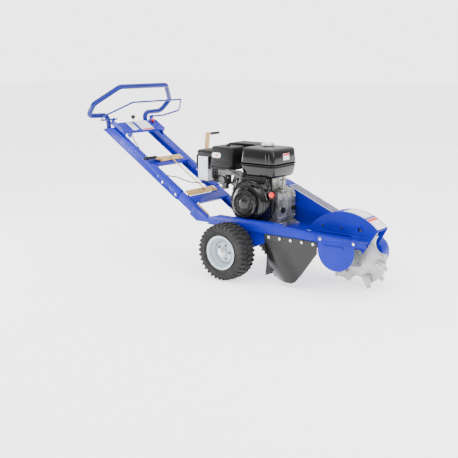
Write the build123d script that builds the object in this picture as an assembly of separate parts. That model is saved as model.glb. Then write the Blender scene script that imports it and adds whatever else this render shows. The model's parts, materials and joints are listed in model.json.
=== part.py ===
from build123d import *
import os
from math import atan2, cos, degrees, pi, radians, sin, sqrt

# Walk-behind stump grinder with a horizontal-shaft petrol engine. Millimetres.
# +X points forwards to the cutter wheel, +Y to the left side, +Z up.
# The origin is on the ground, at the middle of the machine's length and width.

# Overall
HALF_LENGTH = 970.0
AXLE_X = 118.0
CLEAR = 0.4             # gap between pieces that move past each other
SHEET = 4.0             # chassis plate

# Road wheels
TYRE_RADIUS = 165.0
TYRE_HALF = 62.0
TRACK_HALF = 282.0
RIM_SEAT = 90.0
RIM_LIP = 99.0
HUB_RADIUS = 26.0
AXLE_RADIUS = 12.5
BEARING_RADIUS = 21.0
BEARING_WIDTH = 12.0
HUB_HALF = 44.0

# Chassis
DECK_TOP = 290.0
DECK_REAR = AXLE_X - 200.0
DECK_FRONT = AXLE_X + 650.0
DECK_EDGE = 25.0
SIDE_Y = 210.0
SIDE_TOP = 345.0
SIDE_LIP = 42.0
DECK_LEFT = 145.0

# Handle frame, laid out in its own sloping plane: a runs down the slope, h is square to it
HANDLE_SLOPE = 32.2
HANDLE_END_Z = 795.0
RAIL_Y = 190.0
RAIL_DEPTH = 63.5
RAIL_FLANGE = 32.0
RAIL_LENGTH = 740.0
UPRIGHT_START = 560.0
UPRIGHT_END = 1040.0
RAIL_BOLTS = (595.0, 720.0)
RAIL_BOLT_H = 26.0
CROSS_WIDTH = 62.0
CROSS_THICK = 22.0
CROSS_A = (410.0, 792.0)
PANEL_A0 = 79.0
PANEL_A1 = 179.0
PANEL_TOP_H = 105.0
PANEL_HALF = 178.0
PANEL_SHEET = 2.5

# Handlebar and bail
BAR_RADIUS = 12.7
BAR_BEND = 40.0
BAIL_RADIUS = 4.5
BAIL_X = AXLE_X - 999.0
BAIL_Z = 862.0
BAIL_BEND = 22.0

# Throttle and stop button on the panel
THROTTLE_A = 125.0
THROTTLE_Y = -62.0
THROTTLE_H = 30.0
THROTTLE_TILT = 20.0
THROTTLE_LENGTH = 122.0
KNOB_RADIUS = 11.0
STOP_A = 98.0
STOP_Y = 125.0
STOP_TRAVEL = 5.0

# Wheel lock linkage
LOCK_PIVOT_Y = 95.0
LOCK_ROD_Y = 5.0
LOCK_UPPER_A = 432.0
LOCK_LOWER_A = 768.0
LOCK_PLATE = 5.0
LOCK_WIDTH = 44.0
LOCK_LINK_Y = -135.0
LOCK_ROD_RADIUS = 4.0
PIVOT_RADIUS = 6.0
PIVOT_CLEAR = 0.06
SWING_A = 655.0
SWING_H = 26.0
SWING_TOP_X = AXLE_X - 530.0
SWING_TOP = 779.0

# Cutter head: at rest the last tooth of the lowest lobe stands on the ground
CUTTER_X = AXLE_X + 670.0
CUTTER_Y = 60.0
WHEEL_RADIUS = 165.0
WHEEL_HUB_RADIUS = 107.0
WHEEL_THICK = 20.0
WHEEL_HUB_LENGTH = 20.0
TOOTH_REACH = 187.0
TOOTH_HALF = 19.0
TOOTH_START = -13.0
TOOTH_STEP = 25.0
LOBES = 3
TEETH_PER_LOBE = 3
REST_TURN = radians(TOOTH_START - TOOTH_STEP * (TEETH_PER_LOBE - 1))
CUTTER_Z = TOOTH_HALF * cos(REST_TURN) - TOOTH_REACH * sin(REST_TURN)
DOME_X = AXLE_X + 603.0
DOME_Z = 131.0
DOME_RADIUS = 291.0
DOME_NEAR = 0.0
DOME_FAR = 120.0
DOME_START = 45.2
DOME_END = 147.5
SHAFT_RADIUS = 16.0
BEARING_FLANGE = 96.0
BEARING_DEPTH = 34.0
LOCK_HOLE = (AXLE_X + 696.0, 334.0)
LOCK_HOLE_RADIUS = 10.0

# Belt drive
GUARD_NEAR = 150.0
GUARD_FAR = 236.0
GUARD_SHEET = 2.5
GUARD_NOSE = 95.0
GUARD_REAR = 100.0
MESH_START = 60.0
BELT_Y = (184.0, 202.0)
BELT_WIDTH = 13.0
BELT_DEPTH = 9.0
DRIVER_RADIUS = 52.0
DRIVEN_RADIUS = 58.0
PULLEY_WIDTH = 40.0

# Engine
ENGINE_X = AXLE_X + 50.0
CRANK_Z = 430.0
CRANK_RADIUS = 12.7
CASE_NEAR = -60.0
CASE_FAR = 118.0
FAN_RADIUS = 136.0
FAN_NEAR = -160.0
RECOIL_RADIUS = 84.0
RECOIL_NEAR = -190.0
TANK_BOX = (AXLE_X - 12.0, AXLE_X + 208.0, -122.0, 110.0, 584.0, 745.0)
TANK_CORNER = 24.0
CAP_XY = (AXLE_X + 88.0, -8.0)
CAP_RADIUS = 38.0
CLEANER_BOX = (AXLE_X - 262.0, AXLE_X - 92.0, -118.0, 38.0, 600.0, 735.0)
MUFFLER_BOX = (AXLE_X - 270.0, AXLE_X - 30.0, 60.0, 190.0, 600.0, 752.0)
SWITCH_X = ENGINE_X + 158.0
SWITCH_Z = 492.0

# Side fittings and rubber skirts
BAR_X = (AXLE_X + 556.0, HALF_LENGTH)
BAR_SIZE = (25.0, 30.0)
PLATE_X = (AXLE_X + 563.0, AXLE_X + 783.0)
PLATE_BOTTOM = 140.0
SKIRT_X = (AXLE_X + 213.0, AXLE_X + 560.0)
SKIRT_TOP = 283.0
SKIRT_BOTTOM = 30.0
SKIRT_THICK = 6.0
SKIRT_BOLT_Z = 270.0
SKIRT_BOLTS = 5
REAR_SKIRT_X = AXLE_X + 203.0
BOLT_RADIUS = 5.0
BOLT_HOLE = 5.4
BOLT_HEAD = 8.5
BOLT_HEAD_HEIGHT = 6.0

HANDLE = Plane(
    origin=(-HALF_LENGTH, 0, HANDLE_END_Z),
    x_dir=(cos(radians(HANDLE_SLOPE)), 0, -sin(radians(HANDLE_SLOPE))),
    z_dir=(sin(radians(HANDLE_SLOPE)), 0, cos(radians(HANDLE_SLOPE))),
).location


# ---------------------------------------------------------------- helpers
def block(x0, x1, y0, y1, z0, z1):
    """Box between two corners."""
    return Pos((x0 + x1) / 2, (y0 + y1) / 2, (z0 + z1) / 2) * Box(x1 - x0, y1 - y0, z1 - z0)


def disc_y(x, z, radius, y0, y1):
    """Cylinder along Y."""
    return Pos(x, (y0 + y1) / 2, z) * Rot(90, 0, 0) * Cylinder(radius, y1 - y0)


def plate_y(points, y0, y1):
    """Flat plate from an XZ outline, between two Y planes."""
    outline = make_face(Polyline(*[(x, y0, z) for x, z in points], close=True))
    return extrude(outline, amount=y1 - y0, dir=(0, 1, 0))


def pin_h(a, y, h0, h1, radius):
    """Cylinder square to the handle plane."""
    return HANDLE * Pos(a, y, (h0 + h1) / 2) * Cylinder(radius, h1 - h0)


def on_handle(shape):
    return HANDLE * shape


def mirrored(shape):
    """The same piece on the other side of the machine."""
    return mirror(shape, about=Plane.XZ)


def soften(shape, axis, radius):
    """Rounds the edges that run along an axis."""
    return fillet(shape.edges().filter_by(axis), radius)


def hex_bolt_y(x, z, y_face, y_back):
    """Bolt along Y: head outside y_face (the -Y side), nut behind y_back."""
    head = Pos(x, y_face - BOLT_HEAD_HEIGHT / 2, z) * Rot(90, 0, 0) * extrude_hex(BOLT_HEAD)
    nut = Pos(x, y_back + BOLT_HEAD_HEIGHT / 2, z) * Rot(90, 0, 0) * extrude_hex(BOLT_HEAD)
    return head + nut + disc_y(x, z, BOLT_RADIUS, y_face, y_back)


def extrude_hex(radius):
    hexagon = extrude(RegularPolygon(radius, 6), amount=BOLT_HEAD_HEIGHT / 2, both=True)
    return hexagon


def hex_bolt_z(x, y, z_face, z_back):
    """Bolt along Z: head on z_face, nut under z_back."""
    head = Pos(x, y, z_face + BOLT_HEAD_HEIGHT / 2) * extrude_hex(BOLT_HEAD)
    nut = Pos(x, y, z_back - BOLT_HEAD_HEIGHT / 2) * extrude_hex(BOLT_HEAD)
    shank = Pos(x, y, (z_face + z_back) / 2) * Cylinder(BOLT_RADIUS, z_face - z_back)
    return head + nut + shank


# ---------------------------------------------------------------- chassis
def skirt_bolt_xs():
    first = SKIRT_X[0] + 36
    step = (SKIRT_X[1] - 22 - first) / (SKIRT_BOLTS - 1)
    return [first + step * i for i in range(SKIRT_BOLTS)]


def engine_bolts():
    return [(ENGINE_X + dx, dy) for dx in (-75, 115) for dy in (-42, 100)]


def bar_bolts():
    return [BAR_X[0] + 24, BAR_X[0] + 226]


def deck():
    """Deck plate with its wheel slot, axle hangers and skirt flanges."""
    under = DECK_TOP - SHEET
    plate = block(DECK_REAR, DECK_FRONT, -SIDE_Y, DECK_LEFT, under, DECK_TOP)
    slot_rear = DOME_X - DOME_RADIUS * cos(radians(180 - DOME_END)) - 2
    plate -= block(slot_rear, DECK_FRONT + 1, DOME_NEAR - CLEAR, DECK_LEFT + 1, under - 1, DECK_TOP + 1)
    hanger_top = under
    hanger = plate_y([
        (AXLE_X - 105, hanger_top), (AXLE_X + 208, hanger_top), (AXLE_X + 208, 228),
        (AXLE_X + 120, 186), (AXLE_X + 34, 136), (AXLE_X - 34, 136), (AXLE_X - 105, 214)],
        -176, -170)
    hangers = hanger + mirrored(hanger)
    # the left hanger stands under the left chassis side, so the deck reaches out to it
    plate += block(DECK_FRONT - 1, HALF_LENGTH - 6, -SIDE_Y, -SIDE_Y + DECK_EDGE, under, DECK_TOP)
    wing = block(DECK_REAR, AXLE_X + 60, DECK_LEFT, SIDE_Y, under, DECK_TOP)
    wing += block(AXLE_X + 60, AXLE_X + 208, DECK_LEFT, 176, under, DECK_TOP - 1)
    flange = block(SKIRT_X[0], PLATE_X[0] - 3, -SIDE_Y + SHEET, -SIDE_Y + 2 * SHEET, SKIRT_BOLT_Z - 16, under)
    rear_flange = block(REAR_SKIRT_X + 5, REAR_SKIRT_X + 9, -165, 140, SKIRT_BOLT_Z - 16, under)
    frame = plate + wing + hangers + flange + rear_flange
    frame -= disc_y(AXLE_X, TYRE_RADIUS, AXLE_RADIUS + 0.05, -SIDE_Y, SIDE_Y)
    for x in skirt_bolt_xs():
        frame -= disc_y(x, SKIRT_BOLT_Z, BOLT_HOLE, -SIDE_Y, -SIDE_Y + 3 * SHEET)
    for x, y in engine_bolts():
        frame -= Pos(x, y, DECK_TOP) * Cylinder(BOLT_HOLE, 30)
    return frame


def chassis_side(front_x, taper):
    """Right side member: web, top lip and the gusset plate that holds the upright."""
    rear = DECK_REAR + 6
    low = DECK_TOP + 0.2
    nose, lean = (20, 230) if taper else (6, 20)
    web = plate_y([
        (rear, low), (front_x, low), (front_x, SIDE_TOP - nose), (front_x - lean, SIDE_TOP),
        (rear + 60, SIDE_TOP), (rear, SIDE_TOP - 14)], -SIDE_Y, -SIDE_Y + SHEET)
    lip = block(rear + 60, front_x - lean, -SIDE_Y, -SIDE_Y + SIDE_LIP, SIDE_TOP - SHEET, SIDE_TOP)
    cap = block(rear, rear + 6, -SIDE_Y, -RAIL_Y + 1, low, SIDE_TOP - 14)
    gusset = on_handle(block(868, UPRIGHT_END + 8, -RAIL_Y, -RAIL_Y + SHEET - 0.1, -9, RAIL_DEPTH - 6))
    foot = block(rear, rear + 70, -SIDE_Y, -RAIL_Y + SHEET - 0.1, low, low + SHEET)
    side = web + lip + cap + gusset + foot
    return side - block(rear - 200, rear + 150, -SIDE_Y - 1, -RAIL_Y + 20, 150, low)


def upright():
    """Lower handle rail of the right side, nested in the upper one."""
    y0 = -RAIL_Y + SHEET + 0.3
    y1 = -RAIL_Y + RAIL_FLANGE
    h0, h1 = SHEET + 0.3, RAIL_DEPTH - SHEET - 0.3
    rail = block(UPRIGHT_START, UPRIGHT_END + 40, y0, y1, h0, h1)
    rail -= block(UPRIGHT_START - 1, UPRIGHT_END + 41, y0 + SHEET, y1 + 1, h0 + SHEET, h1 - SHEET)
    rail = on_handle(rail)
    rail -= block(-200, 400, -SIDE_Y, 0, 0, DECK_TOP + 0.2)
    return rail - rail_holes()


def rail_holes():
    """Bolt holes and the tall lever's pivot hole, through both nested webs."""
    holes = disc_y(SWING_A, SWING_H, PIVOT_RADIUS + 0.1, -RAIL_Y - 5, -RAIL_Y + 15)
    for a in RAIL_BOLTS:
        holes += disc_y(a, RAIL_BOLT_H, BOLT_HOLE, -RAIL_Y - 5, -RAIL_Y + 15)
    return on_handle(holes)


def cross_member(a):
    member = block(a, a + CROSS_WIDTH, -RAIL_Y + RAIL_FLANGE + 0.2, RAIL_Y - RAIL_FLANGE - 0.2,
                   RAIL_DEPTH - CROSS_THICK, RAIL_DEPTH)
    member -= block(a + 4, a + CROSS_WIDTH - 4, -RAIL_Y, RAIL_Y, RAIL_DEPTH - CROSS_THICK - 1, RAIL_DEPTH - 4)
    return member


def cross_members():
    """Two folded cross members welded between the rails; each carries a linkage pivot."""
    members = []
    for start, pivot in zip(CROSS_A, (LOCK_UPPER_A, LOCK_LOWER_A)):
        member = cross_member(start)
        if pivot < start:
            member += block(pivot - 20, start + 1, LOCK_PIVOT_Y - 20, LOCK_PIVOT_Y + 20, RAIL_DEPTH - 4, RAIL_DEPTH)
        member -= Pos(pivot, LOCK_PIVOT_Y, RAIL_DEPTH) * Cylinder(PIVOT_RADIUS + 0.1, 30)
        if pivot < start:
            member -= block(start - 1, start + CROSS_WIDTH + 1, LOCK_LINK_Y - 14, LOCK_LINK_Y + 17,
                            RAIL_DEPTH - CROSS_THICK - 1, RAIL_DEPTH - 8)
        members.append(on_handle(member))
    return Compound(members)


def handle_rail():
    """Upper handle rail of the right side: a channel with a slanting rear end."""
    rail = block(0, RAIL_LENGTH, -RAIL_Y, -RAIL_Y + RAIL_FLANGE, 0, RAIL_DEPTH)
    rail -= block(-1, RAIL_LENGTH + 1, -RAIL_Y + SHEET, 0, SHEET, RAIL_DEPTH - SHEET)
    end_cut = plate_y([(-1, 2), (72, RAIL_DEPTH + 1), (-1, RAIL_DEPTH + 1)], -SIDE_Y, 0)
    rail = on_handle(rail - end_cut) - rail_holes()
    return rail - on_handle(disc_y(540, RAIL_BOLT_H + 4, 4.0, -RAIL_Y - 5, -RAIL_Y + 15))


def control_panel():
    """Folded tray between the rails, with the throttle slot and button hole."""
    s = PANEL_SHEET
    top = block(PANEL_A0, PANEL_A1, -PANEL_HALF, PANEL_HALF, PANEL_TOP_H - s, PANEL_TOP_H)
    cheek = block(PANEL_A0, PANEL_A1, -PANEL_HALF, -PANEL_HALF + s, RAIL_DEPTH + 0.2, PANEL_TOP_H)
    front = block(PANEL_A1 - s, PANEL_A1, -PANEL_HALF, PANEL_HALF, PANEL_TOP_H - 16, PANEL_TOP_H)
    lug = block(28, PANEL_A0 + 4, -PANEL_HALF, -PANEL_HALF + s, RAIL_DEPTH + 0.2, PANEL_TOP_H - 6)
    lug += disc_y(39.6, PANEL_TOP_H - 1, 11, -PANEL_HALF, -PANEL_HALF + s)
    tray = top + cheek + mirrored(cheek) + front + lug + mirrored(lug)
    slot = Pos(THROTTLE_A, THROTTLE_Y, PANEL_TOP_H) * extrude(SlotOverall(80, 10), amount=8, both=True)
    tray -= slot
    tray -= Pos(STOP_A, STOP_Y, PANEL_TOP_H) * Cylinder(8.06, 20)
    tray = on_handle(tray + throttle_bracket())
    return tray - disc_y(BAIL_X, BAIL_Z, BAIL_RADIUS + 0.1, -SIDE_Y, SIDE_Y)


def handlebar():
    half = [
        (AXLE_X - 1052, 170, 789), (AXLE_X - 1062, 170, 885), (AXLE_X - 1066, 334, 888),
        (AXLE_X - 994, 350, 966), (AXLE_X - 900, 212, 1070)]
    points = half + [(x, -y, z) for x, y, z in reversed(half)]
    path = FilletPolyline(*points, radius=BAR_BEND)
    section = Plane(origin=path @ 0, z_dir=path % 0) * Circle(BAR_RADIUS)
    return sweep(section, path=path)


def bail():
    half = [
        (BAIL_X, 150, BAIL_Z), (BAIL_X, 290, BAIL_Z), (AXLE_X - 905, 346, 897), (AXLE_X - 778, 224, 979)]
    points = half + [(x, -y, z) for x, y, z in reversed(half)]
    path = FilletPolyline(*points, radius=BAIL_BEND)
    section = Plane(origin=path @ 0, z_dir=path % 0) * Circle(BAIL_RADIUS)
    return sweep(section, path=path)


# ---------------------------------------------------------------- hand controls
def throttle_plane():
    return HANDLE * Pos(THROTTLE_A, THROTTLE_Y, THROTTLE_H) * Rot(0, -THROTTLE_TILT, 0)


def throttle_lever():
    tip = THROTTLE_LENGTH - KNOB_RADIUS
    lever = block(-6, 6, -2, 2, 0, tip - 28) + disc_y(0, 0, 10, -2, 2)
    lever += Pos(0, 0, tip - 16) * Cylinder(2.6, 30)
    lever -= disc_y(0, 0, 4.0 + PIVOT_CLEAR, -3, 3)
    return throttle_plane() * lever


def throttle_knob():
    ball = Pos(0, 0, THROTTLE_LENGTH) * Sphere(KNOB_RADIUS)
    ball -= Pos(0, 0, THROTTLE_LENGTH - KNOB_RADIUS) * Cylinder(2.8, 22)
    return throttle_plane() * ball


def throttle_bracket():
    """Hanger plate under the panel with the lever's pivot pin."""
    plate = block(THROTTLE_A - 16, THROTTLE_A + 16, THROTTLE_Y - 10, THROTTLE_Y - 7,
                  THROTTLE_H - 14, PANEL_TOP_H - 1)
    pin = disc_y(THROTTLE_A, THROTTLE_H, 4.0, THROTTLE_Y - 8, THROTTLE_Y + 8)
    head = disc_y(THROTTLE_A, THROTTLE_H, 8.0, THROTTLE_Y + 4, THROTTLE_Y + 9)
    return plate + pin + head


def wire_loom():
    return on_handle(disc_y(PANEL_A1 - 14, PANEL_TOP_H - PANEL_SHEET - 9.2, 9, -PANEL_HALF + 8, 28))


def stop_button():
    cap = Pos(0, 0, 12) * Cylinder(11, 8)
    cap = fillet(cap.edges().sort_by(Axis.Z)[-1], 3)
    stem = Pos(0, 0, -6) * Cylinder(8, 30)
    return HANDLE * Pos(STOP_A, STOP_Y, PANEL_TOP_H + STOP_TRAVEL - 3) * (cap + stem)


# ---------------------------------------------------------------- wheel lock linkage
def lock_lever():
    """Upper flat bar with its handle standing over the right rail."""
    h0 = RAIL_DEPTH + CLEAR
    bar = block(LOCK_UPPER_A - LOCK_WIDTH / 2, LOCK_UPPER_A + LOCK_WIDTH / 2, -96, LOCK_PIVOT_Y + 22,
                h0, h0 + LOCK_PLATE)
    bar = soften(bar, Axis.Z, 9)
    riser = plate_hy([(-90, h0), (-60, h0), (-130, h0 + 26), (-150, h0 + 26), (-150, h0 + 21)],
                     LOCK_UPPER_A - 14, LOCK_UPPER_A + 14)
    grip = Pos(LOCK_UPPER_A, -186, h0 + 25) * Rot(90, 0, 0) * Cylinder(9, 92)
    lever = bar + riser + grip
    lever -= Pos(LOCK_UPPER_A, LOCK_PIVOT_Y, h0) * Cylinder(PIVOT_RADIUS + PIVOT_CLEAR, 30)
    lever -= Pos(LOCK_UPPER_A, LOCK_ROD_Y, h0) * Cylinder(LOCK_ROD_RADIUS + PIVOT_CLEAR, 12)
    return on_handle(lever)


def plate_hy(points, a0, a1):
    """Plate across the handle frame from a (y, h) outline, between two a planes."""
    outline = make_face(Polyline(*[(a0, y, h) for y, h in points], close=True))
    return extrude(outline, amount=a1 - a0, dir=(1, 0, 0))


def lock_crank():
    """Lower flat bar: it carries the rod's pull across to the right wheel."""
    h0 = RAIL_DEPTH + CLEAR
    bar = block(LOCK_LOWER_A - LOCK_WIDTH / 2, LOCK_LOWER_A + LOCK_WIDTH / 2, LOCK_LINK_Y - 18,
                LOCK_PIVOT_Y + 22, h0, h0 + LOCK_PLATE)
    bar = soften(bar, Axis.Z, 9)
    bar -= Pos(LOCK_LOWER_A, LOCK_PIVOT_Y, h0) * Cylinder(PIVOT_RADIUS + PIVOT_CLEAR, 30)
    bar -= Pos(LOCK_LOWER_A, LOCK_ROD_Y, h0) * Cylinder(LOCK_ROD_RADIUS + PIVOT_CLEAR, 12)
    bar -= Pos(LOCK_LOWER_A, LOCK_LINK_Y, h0) * Cylinder(LOCK_ROD_RADIUS + PIVOT_CLEAR, 12)
    return on_handle(bar)


def pivot_bolts():
    """Shouldered pivot bolts: one in each cross member, one in the left rail."""
    bolts = []
    for a in (LOCK_UPPER_A, LOCK_LOWER_A):
        top = RAIL_DEPTH + 2 * CLEAR + LOCK_PLATE
        shank = Pos(a, LOCK_PIVOT_Y, (RAIL_DEPTH - 12 + top) / 2) * Cylinder(PIVOT_RADIUS, top - RAIL_DEPTH + 12)
        head = Pos(a, LOCK_PIVOT_Y, top + BOLT_HEAD_HEIGHT / 2) * extrude_hex(11)
        bolts.append(on_handle(shank + head))
    return Compound(bolts + [swing_pivot()])


def lock_rod():
    """Round rod with its ends turned down through both flat bars."""
    h0 = RAIL_DEPTH + CLEAR
    h = h0 + LOCK_PLATE + 2 + LOCK_ROD_RADIUS
    path = FilletPolyline(
        (LOCK_UPPER_A, LOCK_ROD_Y, h0 + 0.1), (LOCK_UPPER_A, LOCK_ROD_Y, h),
        (LOCK_LOWER_A, LOCK_ROD_Y, h), (LOCK_LOWER_A, LOCK_ROD_Y, h0 + 0.1), radius=5)
    return on_handle(sweep(Plane(origin=path @ 0, z_dir=path % 0) * Circle(LOCK_ROD_RADIUS), path=path))


def lock_link():
    """Sprung link from the lower flat bar down beside the right rail."""
    h0 = RAIL_DEPTH + CLEAR
    h = h0 - 18
    path = FilletPolyline(
        (LOCK_LOWER_A, LOCK_LINK_Y, h0 + LOCK_PLATE + 5), (LOCK_LOWER_A, LOCK_LINK_Y, h),
        (LOCK_LOWER_A + 200, LOCK_LINK_Y, h), radius=7)
    rod = sweep(Plane(origin=path @ 0, z_dir=path % 0) * Circle(LOCK_ROD_RADIUS), path=path)
    spring = Pos(LOCK_LOWER_A + 140, LOCK_LINK_Y, h) * Rot(0, 90, 0) * Cylinder(8, 90)
    return on_handle(rod + spring)


def swing_pivot_xz():
    """Pivot of the tall lever, on the left rail."""
    turn = radians(HANDLE_SLOPE)
    x = -HALF_LENGTH + SWING_A * cos(turn) + SWING_H * sin(turn)
    return x, HANDLE_END_Z - SWING_A * sin(turn) + SWING_H * cos(turn)


def swing_lever():
    """Tall flat lever outside the left rail, with a grip that points outwards."""
    x, z = swing_pivot_xz()
    top = SWING_TOP_X
    y0 = RAIL_Y + 3
    bar = plate_y([
        (x - 16, z - 16), (x + 16, z - 16), (top + 6, SWING_TOP - 110), (top + 20, SWING_TOP),
        (top - 12, SWING_TOP), (top - 26, SWING_TOP - 110)], y0, y0 + 6)
    grip = disc_y(top + 4, SWING_TOP - 10, 8, y0, y0 + 112)
    bar -= disc_y(x, z, PIVOT_RADIUS + PIVOT_CLEAR, y0 - 1, y0 + 7)
    return bar + grip


def swing_pivot():
    x, z = swing_pivot_xz()
    pin = disc_y(x, z, PIVOT_RADIUS, RAIL_Y - 2 * SHEET - 2, RAIL_Y + 10)
    return pin + disc_y(x, z, 11, RAIL_Y + 9.4, RAIL_Y + 16)


# ---------------------------------------------------------------- road wheels
def revolve_profile(points):
    """Solid of revolution about the axle from (radius, y) points."""
    outline = make_face(Polyline(*[(r, y, 0) for r, y in points], close=True))
    return revolve(outline, axis=Axis.Y)


def at_left_wheel(shape):
    return Pos(AXLE_X, TRACK_HALF, TYRE_RADIUS) * shape


def tyre():
    h, r = TYRE_HALF, TYRE_RADIUS
    body = revolve_profile([
        (RIM_SEAT + 0.3, -h + 12), (RIM_SEAT + 14, -h + 3), (r - 38, -h), (r - 16, -h + 5), (r - 3, -h + 16),
        (r, -h + 30), (r, h - 30), (r - 3, h - 16), (r - 16, h - 5), (r - 38, h), (RIM_SEAT + 14, h - 3),
        (RIM_SEAT + 0.3, h - 12)])
    inside = revolve_profile([
        (RIM_SEAT, -h + 20), (RIM_SEAT + 20, -h + 12), (r - 36, -h + 11), (r - 14, -h + 28), (r - 14, h - 28),
        (r - 36, h - 11), (RIM_SEAT + 20, h - 12), (RIM_SEAT, h - 20)])
    return at_left_wheel(body - inside)


def rim():
    """Pressed rim with a dished centre and a welded bearing hub."""
    h = TYRE_HALF - 9
    barrel = revolve_profile([
        (RIM_SEAT, -h), (RIM_LIP, -h - 4), (RIM_LIP, -h - 7), (RIM_SEAT - 3, -h - 3), (RIM_SEAT - 3, -20),
        (74, -14), (74, 14), (RIM_SEAT - 3, 20), (RIM_SEAT - 3, h + 3), (RIM_LIP, h + 7), (RIM_LIP, h + 4),
        (RIM_SEAT, h), (RIM_SEAT, 22), (77, 16), (77, -16), (RIM_SEAT, -22)])
    web = revolve_profile([
        (HUB_RADIUS - 2, 22), (50, 22), (60, 8), (75, 2), (75, -2), (58, 4), (48, 18), (HUB_RADIUS - 2, 18)])
    hub = revolve_profile([
        (BEARING_RADIUS + 0.05, -HUB_HALF), (HUB_RADIUS, -HUB_HALF), (HUB_RADIUS, HUB_HALF),
        (BEARING_RADIUS + 0.05, HUB_HALF)])
    wheel = barrel + web + hub
    for i in range(5):
        turn = radians(72 * i + 90)
        wheel -= disc_y(38 * cos(turn), 38 * sin(turn), 4.2, 10, 30)
    return at_left_wheel(wheel)


def wheel_bearings():
    """Ball bearings on the axle, two to a wheel, shown as plain rings."""
    rings = []
    for end in (-HUB_HALF + 1, HUB_HALF - 1 - BEARING_WIDTH):
        ring = disc_y(0, 0, BEARING_RADIUS, end, end + BEARING_WIDTH)
        ring -= disc_y(0, 0, AXLE_RADIUS + 0.05, end - 1, end + BEARING_WIDTH + 1)
        rings += [at_left_wheel(ring), mirrored(at_left_wheel(ring))]
    return Compound(rings)


def axle_end():
    return TRACK_HALF + HUB_HALF + 16


def axle():
    return disc_y(AXLE_X, TYRE_RADIUS, AXLE_RADIUS, -axle_end(), axle_end())


def axle_nuts():
    nuts = []
    for side in (-1, 1):
        y = side * (axle_end() - 9)
        nut = Pos(AXLE_X, y, TYRE_RADIUS) * Rot(90, 0, 0) * extrude(RegularPolygon(19, 6), amount=5, both=True)
        nuts.append(nut - disc_y(AXLE_X, TYRE_RADIUS, AXLE_RADIUS + 0.05, -400, 400))
    return Compound(nuts)


# ---------------------------------------------------------------- cutter head
def dome_arc(radius, start, end, steps=28):
    """Points along the dome's curve, from the front over the top to the rear."""
    turns = [radians(start + (end - start) * i / steps) for i in range(steps + 1)]
    return [(DOME_X + radius * cos(t), DOME_Z + radius * sin(t)) for t in turns]


def arc_face(points_low, radius, y):
    """Face bounded by the dome's curve and straight lower edges."""
    start = dome_arc(radius, DOME_START, DOME_END, 2)
    curve = ThreePointArc(*[(x, y, z) for x, z in start])
    rear = start[-1]
    chain = Polyline(*[(x, y, z) for x, z in [rear] + points_low + [start[0]]])
    return make_face([curve.edge(), *chain.edges()])


def housing_side(points_low, y0, y1):
    return extrude(arc_face(points_low, DOME_RADIUS, y0), amount=y1 - y0, dir=(0, 1, 0))


def cutter_housing():
    """Dome over the cutter wheel with two side plates that hold its bearings."""
    t = SHEET
    low = [
        (DOME_X - 246, DECK_TOP + 0.3), (CUTTER_X - 74, DECK_TOP + 0.3), (CUTTER_X - 74, CUTTER_Z - 52),
        (CUTTER_X + 4, CUTTER_Z - 52), (CUTTER_X + 56, CUTTER_Z + 34)]
    near = housing_side(low, DOME_NEAR, DOME_NEAR + t)
    far_low = [
        (DOME_X - 246, DECK_TOP + 0.3), (DOME_X - 246, 236), (CUTTER_X - 90, CUTTER_Z - 58),
        (CUTTER_X + 20, CUTTER_Z - 58), (CUTTER_X + 70, CUTTER_Z + 34)]
    far = housing_side(far_low, DOME_FAR - t, DOME_FAR)
    outer = housing_side([(DOME_X, DOME_Z)], DOME_NEAR, DOME_FAR)
    inner = extrude(make_face(Polyline(*[
        (x, DOME_NEAR, z) for x, z in dome_arc(DOME_RADIUS - t, DOME_START - 12, DOME_END + 12)
        + [(DOME_X, DOME_Z)]], close=True)), amount=DOME_FAR - DOME_NEAR, dir=(0, 1, 0))
    shell = outer - inner
    shell = shell - block(0, 2000, -500, 500, 0, DECK_TOP + 0.3)
    housing = shell + near + far
    housing -= disc_y(CUTTER_X, CUTTER_Z, SHAFT_RADIUS + 4, -50, 200)
    housing -= disc_y(LOCK_HOLE[0], LOCK_HOLE[1], LOCK_HOLE_RADIUS, DOME_NEAR - 1, DOME_NEAR + t + 1)
    return housing


def flange_bearing(y_face, outwards):
    """Square flange bearing whose back sits on a housing plate."""
    flange = soften(block(-BEARING_FLANGE / 2, BEARING_FLANGE / 2, 0, 10, -BEARING_FLANGE / 2, BEARING_FLANGE / 2),
                    Axis.Y, 18)
    body = flange + disc_y(0, 0, 37, 0, BEARING_DEPTH - 8) + disc_y(0, 0, 26, 0, BEARING_DEPTH)
    body -= disc_y(0, 0, SHAFT_RADIUS + 0.05, -1, BEARING_DEPTH + 1)
    for x in (-35, 35):
        for z in (-35, 35):
            body += disc_y(x, z, 7, 9, 17)
    if not outwards:
        body = mirrored(body)
    return Pos(CUTTER_X, y_face, CUTTER_Z) * body


def shaft_bearings():
    return Compound([flange_bearing(DOME_NEAR - 0.2, False), flange_bearing(DOME_FAR + 0.2, True)])


def cutter_shaft():
    near_end = DOME_NEAR - BEARING_DEPTH - 16
    far_end = (BELT_Y[0] + BELT_Y[1]) / 2 + PULLEY_WIDTH / 2 + 6
    shaft = disc_y(CUTTER_X, CUTTER_Z, SHAFT_RADIUS, near_end, far_end)
    collar_end = CUTTER_Y - WHEEL_THICK / 2 - WHEEL_HUB_LENGTH - 0.2
    return shaft + disc_y(CUTTER_X, CUTTER_Z, SHAFT_RADIUS + 3, DOME_NEAR + SHEET + 3, collar_end)


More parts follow.
